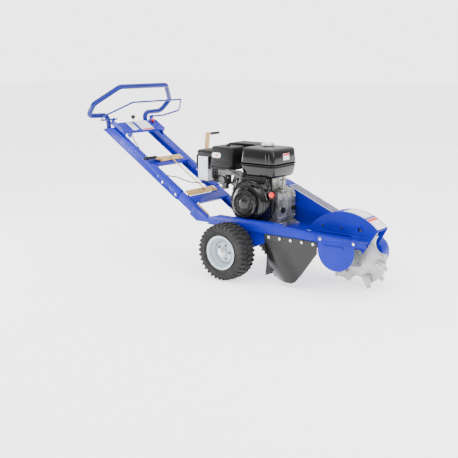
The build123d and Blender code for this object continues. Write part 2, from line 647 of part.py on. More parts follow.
def cutter_wheel():
    """Steel wheel with three lobes, a dished middle and a hub on the shaft."""
    y0, y1 = CUTTER_Y - WHEEL_THICK / 2, CUTTER_Y + WHEEL_THICK / 2
    wheel = disc_y(0, 0, WHEEL_RADIUS, y0, y1)
    for i in range(LOBES):
        gap = radians(TOOTH_START + 30 + TOOTH_STEP / 2 + 360 / LOBES * i)
        wheel -= disc_y(170 * cos(gap), 170 * sin(gap), 54, y0 - 1, y1 + 1)
    dish = Pos(0, y0 - 6, 0) * Rot(90, 0, 0) * Cone(WHEEL_HUB_RADIUS, WHEEL_HUB_RADIUS - 26, 12)
    hub = disc_y(0, 0, 38, y0 - WHEEL_HUB_LENGTH, y1 + 10)
    wheel = wheel + dish + hub
    wheel -= disc_y(0, 0, SHAFT_RADIUS + 0.02, y0 - 40, y1 + 40)
    return Pos(CUTTER_X, 0, CUTTER_Z) * wheel


def tooth_block(side):
    """Bolt-on pocket with its carbide tooth, on one face of a lobe."""
    face = WHEEL_THICK / 2 + 0.1
    y0, y1 = (face, face + 17) if side > 0 else (-face - 17, -face)
    pocket = block(WHEEL_RADIUS - 50, WHEEL_RADIUS + 3, y0, y1, -TOOTH_HALF - 2, TOOTH_HALF + 4)
    pocket = soften(pocket, Axis.Y, 7)
    return pocket + block(WHEEL_RADIUS - 8, TOOTH_REACH, y0 + 3, y1 - 3, -TOOTH_HALF, 3)


def cutter_teeth():
    """Nine equal teeth in three staggered groups, on alternate faces of the wheel."""
    blocks = []
    for i in range(LOBES):
        for k in range(TEETH_PER_LOBE):
            turn = TOOTH_START - TOOTH_STEP * k + 360 / LOBES * i
            side = -1 if k % 2 == 0 else 1
            blocks.append(Pos(CUTTER_X, CUTTER_Y, CUTTER_Z) * Rot(0, -turn, 0) * tooth_block(side))
    return Compound(blocks)


def side_bar():
    """Rectangular tube along the right edge of the deck."""
    z0 = DECK_TOP + 0.2
    tube = block(BAR_X[0], BAR_X[1], -SIDE_Y, -SIDE_Y + BAR_SIZE[0], z0, z0 + BAR_SIZE[1])
    tube -= block(BAR_X[0] - 1, BAR_X[1] + 1, -SIDE_Y + 3, -SIDE_Y + BAR_SIZE[0] - 3, z0 + 3, z0 + BAR_SIZE[1] - 3)
    for x in bar_bolts():
        tube -= disc_y(x, z0 + BAR_SIZE[1] / 2, BOLT_HOLE, -SIDE_Y - 2, -SIDE_Y + BAR_SIZE[0] + 1)
    return tube


def side_plate():
    """Round-bottomed guard plate under the side bar."""
    centre = (PLATE_X[0] + PLATE_X[1]) / 2
    radius = (PLATE_X[1] - PLATE_X[0]) / 2
    top = DECK_TOP - SHEET - 0.2
    level = PLATE_BOTTOM + radius
    y0 = -SIDE_Y + 1
    plate = block(PLATE_X[0], PLATE_X[1], y0, y0 + SHEET, level, top)
    plate += disc_y(centre, level, radius, y0, y0 + SHEET) - block(0, 2000, -400, 0, level, 600)
    return plate + block(PLATE_X[0], PLATE_X[1], y0, y0 + 28, top - SHEET, top)


# ---------------------------------------------------------------- belt drive
def guard_slope():
    """Angle of the line that touches both ends of the belt guard from above."""
    run = CUTTER_X - ENGINE_X
    drop = CRANK_Z - CUTTER_Z
    return atan2(drop, run) + atan2(GUARD_REAR - GUARD_NOSE, sqrt(run * run + drop * drop))


def guard_outline(inset):
    """Outline of the belt guard: round over both pulleys, straight between them."""
    t = guard_slope()
    rear_r, nose_r = GUARD_REAR - inset, GUARD_NOSE - inset
    rear = [(ENGINE_X + rear_r * cos(s), CRANK_Z + rear_r * sin(s))
            for s in [pi * 0.5 - t + (pi * 0.52) * i / 10 for i in range(11)]]
    low_rear = [(ENGINE_X - rear_r * 0.92, SIDE_TOP + 4 + inset), (ENGINE_X + 44, SIDE_TOP + 4 + inset)]
    nose_arc = [(CUTTER_X + nose_r * cos(s), CUTTER_Z + nose_r * sin(s))
                for s in [pi * 0.5 - t - (pi * 1.05) * i / 16 for i in range(17)]]
    return rear + low_rear + list(reversed(nose_arc))


def belt_guard():
    """Folded guard: two cheeks and a rim, open along the top under the mesh."""
    t = GUARD_SHEET
    body = plate_y(guard_outline(0), GUARD_NEAR, GUARD_FAR)
    body -= plate_y(guard_outline(t), GUARD_NEAR + t, GUARD_FAR - t)
    slope = guard_slope()
    run = sqrt((CUTTER_X - ENGINE_X) ** 2 + (CRANK_Z - CUTTER_Z) ** 2)
    window = block(MESH_START, run - 130, GUARD_NEAR + 8, GUARD_FAR - 8, GUARD_REAR - 12, GUARD_REAR + 20)
    body -= Pos(ENGINE_X, 0, CRANK_Z) * Rot(0, degrees(slope), 0) * window
    body += disc_y(DOME_X - 121, DOME_Z + 196, 12, DOME_FAR + 0.3, GUARD_NEAR + 1)
    body += disc_y(ENGINE_X + 124, CRANK_Z - 34, 12, CASE_FAR + 0.3, GUARD_NEAR + 1)
    body -= disc_y(ENGINE_X, CRANK_Z, CRANK_RADIUS + 12, GUARD_NEAR - 1, GUARD_NEAR + t + 1)
    body -= disc_y(CUTTER_X, CUTTER_Z, BEARING_FLANGE / 2 + 2, GUARD_NEAR - 1, GUARD_NEAR + t + 1)
    return body


def belt_mesh():
    """Expanded-metal strip over the guard's open top: slotted sheet."""
    slope = guard_slope()
    run = sqrt((CUTTER_X - ENGINE_X) ** 2 + (CRANK_Z - CUTTER_Z) ** 2)
    x0, x1 = MESH_START - 8, run - 122
    sheet = block(x0, x1, GUARD_NEAR + 1, GUARD_FAR - 1, GUARD_REAR + 0.2, GUARD_REAR + 2.2)
    pitch = 14.0
    count = int((x1 - x0 - 20) / pitch)
    for i in range(count):
        x = x0 + 14 + i * pitch
        sheet -= block(x, x + 9, GUARD_NEAR + 12, (GUARD_NEAR + GUARD_FAR) / 2 - 4, GUARD_REAR, GUARD_REAR + 3)
        sheet -= block(x, x + 9, (GUARD_NEAR + GUARD_FAR) / 2 + 4, GUARD_FAR - 12, GUARD_REAR, GUARD_REAR + 3)
    return Pos(ENGINE_X, 0, CRANK_Z) * Rot(0, degrees(slope), 0) * sheet


def pulley(x, z, radius, bore):
    """Two-groove V pulley."""
    middle = (BELT_Y[0] + BELT_Y[1]) / 2
    y0, y1 = middle - PULLEY_WIDTH / 2, middle + PULLEY_WIDTH / 2
    wheel = disc_y(0, 0, radius + 4, y0, y1)
    for y in BELT_Y:
        groove = revolve(make_face(Polyline(
            (radius - BELT_DEPTH - 3, y - 5, 0), (radius + 5, y - 8, 0), (radius + 5, y + 8, 0),
            (radius - BELT_DEPTH - 3, y + 5, 0), close=True)), axis=Axis.Y)
        wheel -= groove
    wheel -= disc_y(0, 0, bore + 0.02, y0 - 1, y1 + 1)
    return Pos(x, 0, z) * wheel


def belt_loop(radius_a, radius_b, y0, y1):
    """Band round both pulleys at the given radii."""
    run = sqrt((CUTTER_X - ENGINE_X) ** 2 + (CRANK_Z - CUTTER_Z) ** 2)
    ends = Pos(0, 0, 0) * Circle(radius_a) + Pos(run, 0) * Circle(radius_b)
    t = atan2(radius_b - radius_a, run)
    sides = make_face(Polyline(
        (-radius_a * sin(t), radius_a * cos(t)), (run - radius_b * sin(t), radius_b * cos(t)),
        (run - radius_b * sin(t), -radius_b * cos(t)), (-radius_a * sin(t), -radius_a * cos(t)), close=True))
    flat = ends + sides
    solid = extrude(flat, amount=y1 - y0)
    slope = degrees(atan2(CRANK_Z - CUTTER_Z, CUTTER_X - ENGINE_X))
    return Pos(ENGINE_X, y1, CRANK_Z) * Rot(0, slope, 0) * Rot(90, 0, 0) * solid


def drive_belts():
    belts = []
    for y in BELT_Y:
        y0, y1 = y - BELT_WIDTH / 2 + 2, y + BELT_WIDTH / 2 - 2
        outer = belt_loop(DRIVER_RADIUS, DRIVEN_RADIUS, y0, y1)
        inner = belt_loop(DRIVER_RADIUS - BELT_DEPTH, DRIVEN_RADIUS - BELT_DEPTH, y0 - 1, y1 + 1)
        belts.append((outer - inner).solid())
    return Compound(belts)


def crankshaft():
    far_end = (BELT_Y[0] + BELT_Y[1]) / 2 + PULLEY_WIDTH / 2 + 4
    shaft = disc_y(ENGINE_X, CRANK_Z, CRANK_RADIUS, -40, far_end)
    return shaft + disc_y(ENGINE_X, CRANK_Z, 34, -20, 20)


# ---------------------------------------------------------------- engine
def crankcase():
    """Hollow cast case with feet and an inclined cylinder stub."""
    case = block(ENGINE_X - 92, ENGINE_X + 152, CASE_NEAR, CASE_FAR, DECK_TOP + 18, CRANK_Z + 72)
    case = soften(case, Axis.Y, 40)
    foot = block(ENGINE_X - 98, ENGINE_X + 160, CASE_NEAR, CASE_FAR, DECK_TOP + 0.3, DECK_TOP + 24)
    case += soften(foot, Axis.Z, 12)
    case += disc_y(ENGINE_X, CRANK_Z, 62, CASE_NEAR, CASE_FAR + 8)
    case += tank_bracket()
    inside = block(ENGINE_X - 78, ENGINE_X + 138, CASE_NEAR + 14, CASE_FAR - 12, DECK_TOP + 34, CRANK_Z + 58)
    case -= soften(inside, Axis.Y, 30)
    case -= disc_y(ENGINE_X, CRANK_Z, CRANK_RADIUS + 0.05, CASE_NEAR - 1, CASE_FAR + 20)
    for x, y in engine_bolts():
        case -= Pos(x, y, DECK_TOP) * Cylinder(BOLT_HOLE, 80)
        case -= Pos(x, y, DECK_TOP + 34) * Cylinder(BOLT_HEAD + 3, 32)
    return case


def oil_caps():
    """Two filler caps on the front corners of the case."""
    caps = []
    for y in (CASE_NEAR + 34, CASE_FAR - 30):
        x = ENGINE_X + 152.3
        cap = Pos(x + 14, y, CRANK_Z - 40) * Rot(0, 90, 0) * Cylinder(15, 10)
        neck = Pos(x + 5, y, CRANK_Z - 40) * Rot(0, 90, 0) * Cylinder(11, 10)
        caps.append(cap + neck)
    return Compound(caps)


def fan_housing():
    """Blower housing: a drum with a tall side that ducts air to the cylinder."""
    y1 = CASE_NEAR - 0.4
    drum = disc_y(ENGINE_X, CRANK_Z, FAN_RADIUS, FAN_NEAR, y1)
    duct = plate_y([
        (ENGINE_X - FAN_RADIUS, CRANK_Z), (ENGINE_X - FAN_RADIUS - 14, CRANK_Z + 120),
        (ENGINE_X + 40, CRANK_Z + 146), (ENGINE_X + 118, CRANK_Z + 96), (ENGINE_X + FAN_RADIUS, CRANK_Z)],
        FAN_NEAR + 36, y1)
    body = drum + duct
    body -= disc_y(ENGINE_X, CRANK_Z, FAN_RADIUS - 5, FAN_NEAR + 5, y1 + 1)
    body -= disc_y(ENGINE_X, CRANK_Z, RECOIL_RADIUS - 18, FAN_NEAR - 1, FAN_NEAR + 8)
    return body - block(-900, 900, -400, 400, 0, DECK_TOP + 2)


def recoil_cover():
    """Cup over the fan with a ring of slots and the rope outlet."""
    y1 = FAN_NEAR - 0.3
    cup = disc_y(ENGINE_X, CRANK_Z, RECOIL_RADIUS, RECOIL_NEAR, y1)
    cup = fillet(cup.edges().sort_by(Axis.Y)[0], 12)
    cup -= disc_y(ENGINE_X, CRANK_Z, RECOIL_RADIUS - 6, RECOIL_NEAR + 5, y1 + 1)
    for i in range(24):
        turn = 15.0 * i
        slot = Pos(RECOIL_RADIUS - 26, RECOIL_NEAR, 0) * Box(22, 16, 6)
        cup -= Pos(ENGINE_X, 0, CRANK_Z) * Rot(0, turn, 0) * slot
    return cup


def recoil_handle():
    x, z = ENGINE_X + 52, CRANK_Z + 118
    grip = soften(block(x - 32, x + 32, FAN_NEAR - 14, FAN_NEAR - CLEAR, z - 8, z + 8), Axis.Z, 5)
    return grip


def cylinder_block():
    """Inclined finned cylinder and head with its valve cover."""
    local = block(0, 118, -50, 62, -52, 52)
    for i in range(7):
        x = 12 + 15 * i
        local -= block(x, x + 9, -51, -38, -53, 53)
        local -= block(x, x + 9, 50, 63, -53, 53)
        local -= block(x, x + 9, -51, 63, -53, -42)
        local -= block(x, x + 9, -51, 63, 42, 53)
    cover = soften(block(117, 146, -38, 50, -40, 40), Axis.X, 12)
    body = Pos(ENGINE_X - 62, 0, CRANK_Z + 46) * Rot(0, -155, 0) * (local + cover)
    body -= block(ENGINE_X - 92.3, 600, -200, 200, 0, 900)
    return max(body.solids(), key=lambda solid: solid.volume)


def carburettor():
    x = AXLE_X - 168
    body = block(x - 26, x + 26, -104, -50.3, 512, 566) + disc_y(x, 540, 22, -116, -104)
    bowl = Pos(x, -78, 500) * Cylinder(22, 30)
    elbow = block(x - 30, x + 30, -110, -40, 566, 599.6)
    return body + bowl + elbow


def air_cleaner():
    x0, x1, y0, y1, z0, z1 = CLEANER_BOX
    cover = soften(block(x0, x1, y0, y1, z0 + 12, z1), Axis.Z, 42)
    cover = fillet(cover.edges().sort_by(Axis.Z)[-1:], 10)
    base = soften(block(x0 + 6, x1 - 6, y0 + 6, y1 - 6, z0, z0 + 13), Axis.Z, 38)
    stud = Pos((x0 + x1) / 2, (y0 + y1) / 2, z1 + 6) * Cylinder(5, 14)
    return cover + base + stud


def fuel_tank():
    """Two pressed halves joined at a flange, hollow inside."""
    x0, x1, y0, y1, z0, z1 = TANK_BOX
    seam = z0 + 76
    shell = block(x0, x1, y0, y1, z0, z1)
    shell = soften(shell, Axis.Z, TANK_CORNER)
    shell = fillet(shell.faces().sort_by(Axis.Z)[-1].edges(), 20)
    shell = fillet(shell.faces().sort_by(Axis.Z)[0].edges(), 16)
    inside = soften(block(x0 + 3, x1 - 3, y0 + 3, y1 - 3, z0 + 3, z1 - 3), Axis.Z, TANK_CORNER - 3)
    inside = fillet(inside.faces().sort_by(Axis.Z)[-1].edges(), 17)
    inside = fillet(inside.faces().sort_by(Axis.Z)[0].edges(), 13)
    flange = soften(block(x0 - 5, x1 + 5, y0 - 5, y1 + 5, seam - 1.5, seam + 1.5), Axis.Z, TANK_CORNER + 4)
    neck = Pos(CAP_XY[0], CAP_XY[1], z1 + 3) * Cylinder(26, 8)
    tank = shell + flange + neck - inside
    return tank - Pos(CAP_XY[0], CAP_XY[1], z1) * Cylinder(22, 20)


def fuel_cap():
    z = TANK_BOX[5] + 7
    cap = Pos(CAP_XY[0], CAP_XY[1], z + 9) * Cylinder(CAP_RADIUS, 18)
    cap = fillet(cap.edges().sort_by(Axis.Z)[-1], 4)
    return cap - Pos(CAP_XY[0], CAP_XY[1], z) * Cylinder(27, 14)


def muffler():
    x0, x1, y0, y1, z0, z1 = MUFFLER_BOX
    can = soften(block(x0, x1, y0, y1, z0, z1 - 8), Axis.Y, 38)
    port = block(ENGINE_X - 176, ENGINE_X - 116, 62.3, 72, 528, 572)
    elbow = block(ENGINE_X - 166, ENGINE_X - 126, 71, 112, 532, 568)
    pipe = block(ENGINE_X - 166, ENGINE_X - 126, 76, 112, 560, z0 + 1)
    return can + port + elbow + pipe


def heat_shield():
    """Bright sheet box round the exhaust outlet, on the operator's side."""
    x0, x1 = AXLE_X - 400, AXLE_X - 312
    box = soften(block(x0, x1, -62, 30, 516, 662), Axis.Z, 12)
    box -= block(x0 + 2, x1 - 2, -60, 28, 514, 660)
    return box


def shield_cap():
    """Dark rounded lid and strap that hold the heat shield to the muffler."""
    x0, x1 = AXLE_X - 404, AXLE_X - 308
    cap = soften(block(x0, x1, -66, 34, 662.4, 702), Axis.Y, 16)
    strap = block(x1 - 10, MUFFLER_BOX[0] - 0.3, 60, 72, 668, 690)
    arm = block(x1 - 10, x1 + 2, 30, 72, 668, 690)
    return cap + strap + arm


def tank_bracket():
    """Cast posts on the crankcase that carry the tank."""
    z0 = CRANK_Z + 60
    z1 = TANK_BOX[4] - 0.1
    posts = block(ENGINE_X + 92, ENGINE_X + 104, CASE_NEAR + 10, CASE_FAR - 30, z0, z1)
    return posts + block(ENGINE_X + 20, ENGINE_X + 104, CASE_NEAR + 60, CASE_NEAR + 70, z0, z1)


def switch_box():
    x = SWITCH_X
    y1 = CASE_NEAR - 42
    box = block(x - 20, x + 20, y1 - 28, y1, SWITCH_Z - 26, SWITCH_Z + 20)
    leg = block(x - 20, x - 6, y1 - 6, y1, CRANK_Z - 60, SWITCH_Z - 26)
    box -= disc_y(x, SWITCH_Z, 5.2, y1 - 30, y1 - 12)
    arm = block(x - 32, x - 20, y1 - 6, y1 + 4, SWITCH_Z - 12, SWITCH_Z + 12)
    body = box + leg + arm
    return body - disc_y(ENGINE_X, CRANK_Z, FAN_RADIUS + 0.4, -300, 0)


def switch_knob():
    x = SWITCH_X
    y = CASE_NEAR - 42 - 28
    knob = disc_y(x, SWITCH_Z, 17, y - 12, y - CLEAR)
    knob = fillet(knob.edges().sort_by(Axis.Y)[0], 3)
    return knob + disc_y(x, SWITCH_Z, 5, y - 1, y + 14)


# ---------------------------------------------------------------- skirts, cable, bolts
def side_skirt():
    """Rubber flap on the right side, cut away towards the cutter."""
    y1 = -SIDE_Y + SHEET - 0.2
    x0, x1 = SKIRT_X
    flap = plate_y([
        (x0, SKIRT_TOP), (x1, SKIRT_TOP), (x1, 218), (x1 - 130, SKIRT_BOTTOM + 14), (x1 - 150, SKIRT_BOTTOM),
        (x0 + 30, SKIRT_BOTTOM)], y1 - SKIRT_THICK, y1)
    for x in skirt_bolt_xs():
        flap -= disc_y(x, SKIRT_BOLT_Z, BOLT_HOLE, y1 - SKIRT_THICK - 1, y1 + 1)
    return flap


def rear_skirt():
    """Rubber flap across the machine in front of the road wheels."""
    x = REAR_SKIRT_X
    return block(x - 2, x + 4.8, -164, 138, SKIRT_BOTTOM, SKIRT_TOP - 4)


def frame_bolts():
    """All the hexagon bolts of the frame, which are the same size."""
    bolts = []
    y_skirt = -SIDE_Y + SHEET - 0.4 - SKIRT_THICK
    for x in skirt_bolt_xs():
        bolts.append(hex_bolt_y(x, SKIRT_BOLT_Z, y_skirt, -SIDE_Y + 2 * SHEET + 0.2))
    for x in bar_bolts():
        z = DECK_TOP + 0.2 + BAR_SIZE[1] / 2
        bolts.append(hex_bolt_y(x, z, -SIDE_Y - 0.2, -SIDE_Y + BAR_SIZE[0] + 0.2))
    for a in RAIL_BOLTS:
        bolt = on_handle(hex_bolt_y(a, RAIL_BOLT_H, -RAIL_Y - 0.2, -RAIL_Y + 2 * SHEET + 0.6))
        bolts += [bolt, mirrored(bolt)]
    for x, y in engine_bolts():
        bolts.append(hex_bolt_z(x, y, DECK_TOP + 18.4, DECK_TOP - SHEET - 0.2))
    return Compound(bolts)


def handle_point(a, y, h):
    return tuple((HANDLE * Pos(a, y, h)).position)


def throttle_cable():
    """Bowden cable from the lever, along the right rail, to the carburettor."""
    points = [handle_point(*p) for p in (
        (156, -80, 46), (200, -122, 62), (293, -148, 58), (385, -170, 42), (485, -171, 36), (585, -150, 58))]
    points += [
        (AXLE_X - 500, -138, 532), (AXLE_X - 455, -138, 520), (AXLE_X - 412, -122, 506),
        (AXLE_X - 336, -86, 502), (AXLE_X - 290, -76, 520), (AXLE_X - 240, -84, 528), (AXLE_X - 196, -88, 534)]
    radii = cable_radii(points)
    path = FilletPolyline(*points, radius=radii)
    print("cable bend radii", [round(r) for r in radii], "length", round(path.length))
    return sweep(Plane(origin=path @ 0, z_dir=path % 0) * Circle(3.2), path=path)


def cable_radii(points):
    """Largest arc that each corner's shorter run allows."""
    radii = []
    for before, corner, after in zip(points, points[1:], points[2:]):
        into = Vector(*corner) - Vector(*before)
        out = Vector(*after) - Vector(*corner)
        half_turn = radians(into.get_angle(out)) / 2
        radii.append(0.45 * min(into.length, out.length) / (sin(half_turn) / cos(half_turn)))
    return radii


NODES = {
    "deck": deck,
    "chassis_side_right": lambda: chassis_side(AXLE_X + 548, True),
    "chassis_side_left": lambda: mirrored(chassis_side(AXLE_X + 56, False)),
    "upright_right": upright,
    "upright_left": lambda: mirrored(upright()),
    "cross_members": cross_members,
    "handle_rail_right": handle_rail,
    "handle_rail_left": lambda: mirrored(handle_rail()),
    "handlebar": handlebar,
    "bail": bail,
    "control_panel": control_panel,
    "throttle_lever": throttle_lever,
    "throttle_knob": throttle_knob,
    "wire_loom": wire_loom,
    "stop_button": stop_button,
    "lock_lever": lock_lever,
    "lock_crank": lock_crank,
    "lock_rod": lock_rod,
    "lock_link": lock_link,
    "pivot_bolts": pivot_bolts,
    "swing_lever": swing_lever,
    "tyre_left": tyre,
    "tyre_right": lambda: mirrored(tyre()),
    "rim_left": rim,
    "rim_right": lambda: mirrored(rim()),
    "wheel_bearings": wheel_bearings,
    "axle": axle,
    "axle_nuts": axle_nuts,
    "cutter_housing": cutter_housing,
    "shaft_bearings": shaft_bearings,
    "cutter_shaft": cutter_shaft,
    "cutter_wheel": cutter_wheel,
    "cutter_teeth": cutter_teeth,
    "side_bar": side_bar,
    "side_plate": side_plate,
    "belt_guard": belt_guard,
    "belt_mesh": belt_mesh,
    "driver_pulley": lambda: pulley(ENGINE_X, CRANK_Z, DRIVER_RADIUS, CRANK_RADIUS),
    "driven_pulley": lambda: pulley(CUTTER_X, CUTTER_Z, DRIVEN_RADIUS, SHAFT_RADIUS),
    "drive_belts": drive_belts,
    "crankshaft": crankshaft,
    "crankcase": crankcase,
    "oil_caps": oil_caps,
    "fan_housing": fan_housing,
    "recoil_cover": recoil_cover,
    "recoil_handle": recoil_handle,
    "cylinder": cylinder_block,
    "carburettor": carburettor,
    "air_cleaner": air_cleaner,
    "fuel_tank": fuel_tank,
    "fuel_cap": fuel_cap,
    "muffler": muffler,
    "heat_shield": heat_shield,
    "shield_cap": shield_cap,
    "switch_box": switch_box,
    "switch_knob": switch_knob,
    "side_skirt": side_skirt,
    "rear_skirt": rear_skirt,
    "frame_bolts": frame_bolts,
    "throttle_cable": throttle_cable,
}


def main():
    os.makedirs("parts", exist_ok=True)
    for name, make in NODES.items():
        export_step(make(), f"parts/{name}.step")


main()
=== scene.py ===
import json
from math import atan2, cos, pi, radians, sin

import bmesh
import bpy
from mathutils import Matrix, Vector

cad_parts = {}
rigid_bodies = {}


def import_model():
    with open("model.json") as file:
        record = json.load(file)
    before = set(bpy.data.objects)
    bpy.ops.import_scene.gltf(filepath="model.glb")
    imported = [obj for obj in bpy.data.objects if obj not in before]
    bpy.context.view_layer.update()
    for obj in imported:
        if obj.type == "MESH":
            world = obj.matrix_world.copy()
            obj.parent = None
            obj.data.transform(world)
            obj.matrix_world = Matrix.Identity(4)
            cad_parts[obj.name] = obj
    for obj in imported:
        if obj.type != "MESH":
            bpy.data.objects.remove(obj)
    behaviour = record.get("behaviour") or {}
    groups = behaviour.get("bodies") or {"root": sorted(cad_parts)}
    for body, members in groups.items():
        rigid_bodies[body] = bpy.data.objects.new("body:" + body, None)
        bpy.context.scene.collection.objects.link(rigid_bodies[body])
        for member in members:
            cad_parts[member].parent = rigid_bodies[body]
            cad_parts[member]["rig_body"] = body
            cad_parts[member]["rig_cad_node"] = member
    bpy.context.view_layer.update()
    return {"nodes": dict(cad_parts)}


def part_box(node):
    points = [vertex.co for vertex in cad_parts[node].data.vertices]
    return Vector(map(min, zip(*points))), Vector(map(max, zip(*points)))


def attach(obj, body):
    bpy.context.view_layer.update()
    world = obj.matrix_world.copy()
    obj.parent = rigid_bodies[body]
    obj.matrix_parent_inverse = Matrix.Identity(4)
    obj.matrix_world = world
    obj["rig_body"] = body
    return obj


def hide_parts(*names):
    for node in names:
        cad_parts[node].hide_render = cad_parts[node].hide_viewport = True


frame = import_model()
ORIGIN = Vector((0, 0, 0))
DOME_AXIS_X, DOME_AXIS_Z = 0.721, 0.131     # the dome's arc is struck about this line
DECK_TOP = 0.290
LOBES = 3                      # of the cutter wheel, each with three teeth
TEETH = 3
TOOTH_START = -13              # degrees from level to the first tooth of the first lobe
TOOTH_STEP = 25                # degrees between the teeth of one lobe
SLOPE = radians(32.2)          # the handles' fall towards the wheels
HANDLE_TOP = 0.795             # height of the handles' line at its upper end
PANEL_FACE = 0.1052            # the control panel's face above that line
GUARD_FOOT = 0.600             # height of the lower edge of the exhaust's guard
LEFT_SIDE, RIGHT_SIDE = 1, -1
LUGS = 34                      # blocks in each row of the tread
TREAD_DEPTH = 0.0075
FOLD_EDGE = 0.0008             # how far a sheet's edges are eased
FILM = 0.0005                  # thickness of a label
ROUND = 96                     # steps round the large turned pieces
SAME_POINT = 0.00002           # points nearer than this are merged

LOCK_GRIP_AT = (0.432, 0, 0.0889)        # down the slope, across, and square to it
STOP_BUTTON_AT = (0.098, 0.125, 0.105)
SWING_GRIP_X = -0.408

CAMERA_AT = (2.873, -3.785, 1.258)
CAMERA_TURN, CAMERA_DIP = radians(38), radians(12.2)
LENS = 62.9
FLOOR_GLOW, BACKDROP_GLOW = 1.4, 3.6


# ------------------------------------------------------------ workshop moves
def only(*pieces):
    """Selects these pieces and nothing else."""
    bpy.ops.object.select_all(action="DESELECT")
    for piece in pieces:
        piece.select_set(True)
    bpy.context.view_layer.objects.active = pieces[0]


def fresh(shape, name, **place):
    """Adds a primitive with nothing else selected, and names it."""
    bpy.ops.object.select_all(action="DESELECT")
    getattr(bpy.ops.mesh, f"primitive_{shape}_add")(**place)
    piece = bpy.context.object
    piece.name = name
    return piece


def settle(piece):
    """Puts a piece's place, turn and size into its mesh."""
    only(piece)
    bpy.ops.object.transform_apply(location=True, rotation=True, scale=True)
    return piece


def pick_faces(piece, test):
    """In edit mode, selects the faces whose centre and normal pass the test."""
    bpy.ops.mesh.select_all(action="DESELECT")
    mesh = bmesh.from_edit_mesh(piece.data)
    for face in mesh.faces:
        if test(face.calc_center_median(), face.normal):
            face.select_set(True)
    bmesh.update_edit_mesh(piece.data)


def tapered(piece, side, value):
    """Draws in a block's top (side 1) or its foot (side -1)."""
    only(piece)
    bpy.ops.object.mode_set(mode="EDIT")
    pick_faces(piece, lambda spot, normal: normal.z * side > 0.5)
    bpy.ops.transform.resize(value=value)
    bpy.ops.object.mode_set(mode="OBJECT")
    return piece


def upright(a, b):
    """Tells whether a block's edge between two points runs up it."""
    return abs(a.z - b.z) > max(abs(a.x - b.x), abs(a.y - b.y))


def round_edges(piece, width, segments, test):
    """Rounds the edges whose two ends pass the test."""
    only(piece)
    bpy.ops.object.mode_set(mode="EDIT")
    bpy.ops.mesh.select_all(action="DESELECT")
    mesh = bmesh.from_edit_mesh(piece.data)
    for edge in mesh.edges:
        if test(edge.verts[0].co, edge.verts[1].co):
            edge.select_set(True)
    bmesh.update_edit_mesh(piece.data)
    bpy.ops.mesh.bevel(offset=width, segments=segments)
    bpy.ops.object.mode_set(mode="OBJECT")
    return piece


def smooth(piece, angle=35):
    """Shades a piece smooth, apart from edges sharper than an angle."""
    only(piece)
    bpy.ops.object.shade_smooth_by_angle(angle=radians(angle))
    return piece


def apply(piece, kind, **settings):
    """Adds a modifier with its settings and applies it."""
    only(piece)
    modifier = piece.modifiers.new(kind.lower(), kind)
    for key, value in settings.items():
        setattr(modifier, key, value)
    bpy.ops.object.modifier_apply(modifier=modifier.name)
    return piece


def rounded(piece, width, segments=3, angle=30):
    """Rounds the sharp edges of a piece."""
    apply(piece, "BEVEL", width=width, segments=segments, limit_method="ANGLE",
          angle_limit=radians(angle))
    return smooth(piece)


def brick(name, low, high, radius=0.0, segments=3):
    """A block between two corners, with rounded edges."""
    low, high = Vector(low), Vector(high)
    piece = fresh("cube", name, size=1, location=(low + high) / 2)
    piece.scale = high - low
    settle(piece)
    return rounded(piece, radius, segments) if radius else piece


def traced(name, points):
    """An open line, drawn from one corner by an extrusion for each point."""
    piece = fresh("plane", name, size=0.01)
    bpy.ops.object.mode_set(mode="EDIT")
    bpy.ops.mesh.select_all(action="SELECT")
    bpy.ops.mesh.merge(type="CENTER")
    bpy.ops.transform.translate(value=points[0])
    for before, after in zip(points, points[1:]):
        bpy.ops.mesh.extrude_vertices_move(TRANSFORM_OT_translate={"value": after - before})
    bpy.ops.object.mode_set(mode="OBJECT")
    return piece


def turned(name, outline, centre, axis="Y", steps=64):
    """Spins an outline of (radius, distance along the axis) into a closed shape."""
    along = Vector([float(axis == letter) for letter in "XYZ"])
    side = Vector((0, 0, 1)) if axis == "X" else Vector((1, 0, 0))
    piece = traced(name, [side * r + along * d for r, d in outline])
    bpy.ops.object.mode_set(mode="EDIT")
    bpy.ops.mesh.select_all(action="SELECT")
    bpy.ops.mesh.spin(steps=steps, angle=2 * pi, center=ORIGIN, axis=along)
    bpy.ops.mesh.select_all(action="SELECT")
    bpy.ops.mesh.remove_doubles(threshold=SAME_POINT)
    bpy.ops.mesh.normals_make_consistent(inside=False)
    bpy.ops.object.mode_set(mode="OBJECT")
    piece.location = centre
    settle(piece)
    return smooth(piece)


def placed(piece, matrix):
    """Moves a piece by a matrix, in its mesh."""
    piece.data.transform(matrix)
    return piece


def twin(piece, name, matrix=Matrix.Identity(4)):
    """A copy with its own mesh, moved by a matrix."""
    copy = piece.copy()
    copy.data = piece.data.copy()
    copy.name = name
    bpy.context.scene.collection.objects.link(copy)
    copy.data.transform(matrix)
    if matrix.determinant() < 0:
        copy.data.flip_normals()
    return copy


def joined(name, pieces):
    """Makes one piece of several, under one name."""
    only(*pieces)
    bpy.ops.object.join()
    pieces[0].name = name
    return pieces[0]


def around(centre, axis, turn):
    """A turn about an axis through a point."""
    centre = Vector(centre)
    return Matrix.Translation(centre) @ Matrix.Rotation(turn, 4, axis) @ Matrix.Translation(-centre)


def ring(piece, count, centre, axis="Y", start=0.0, full=2 * pi):
    """Copies a piece round an axis and joins the copies to it."""
    copies = [twin(piece, piece.name, around(centre, axis, start + full * i / count))
              for i in range(1, count)]
    placed(piece, around(centre, axis, start))
    return joined(piece.name, [piece, *copies])


def row(piece, count, step):
    """Copies a piece along a line and joins the copies to it."""
    copies = [twin(piece, piece.name, Matrix.Translation(Vector(step) * i)) for i in range(1, count)]
    return joined(piece.name, [piece, *copies])


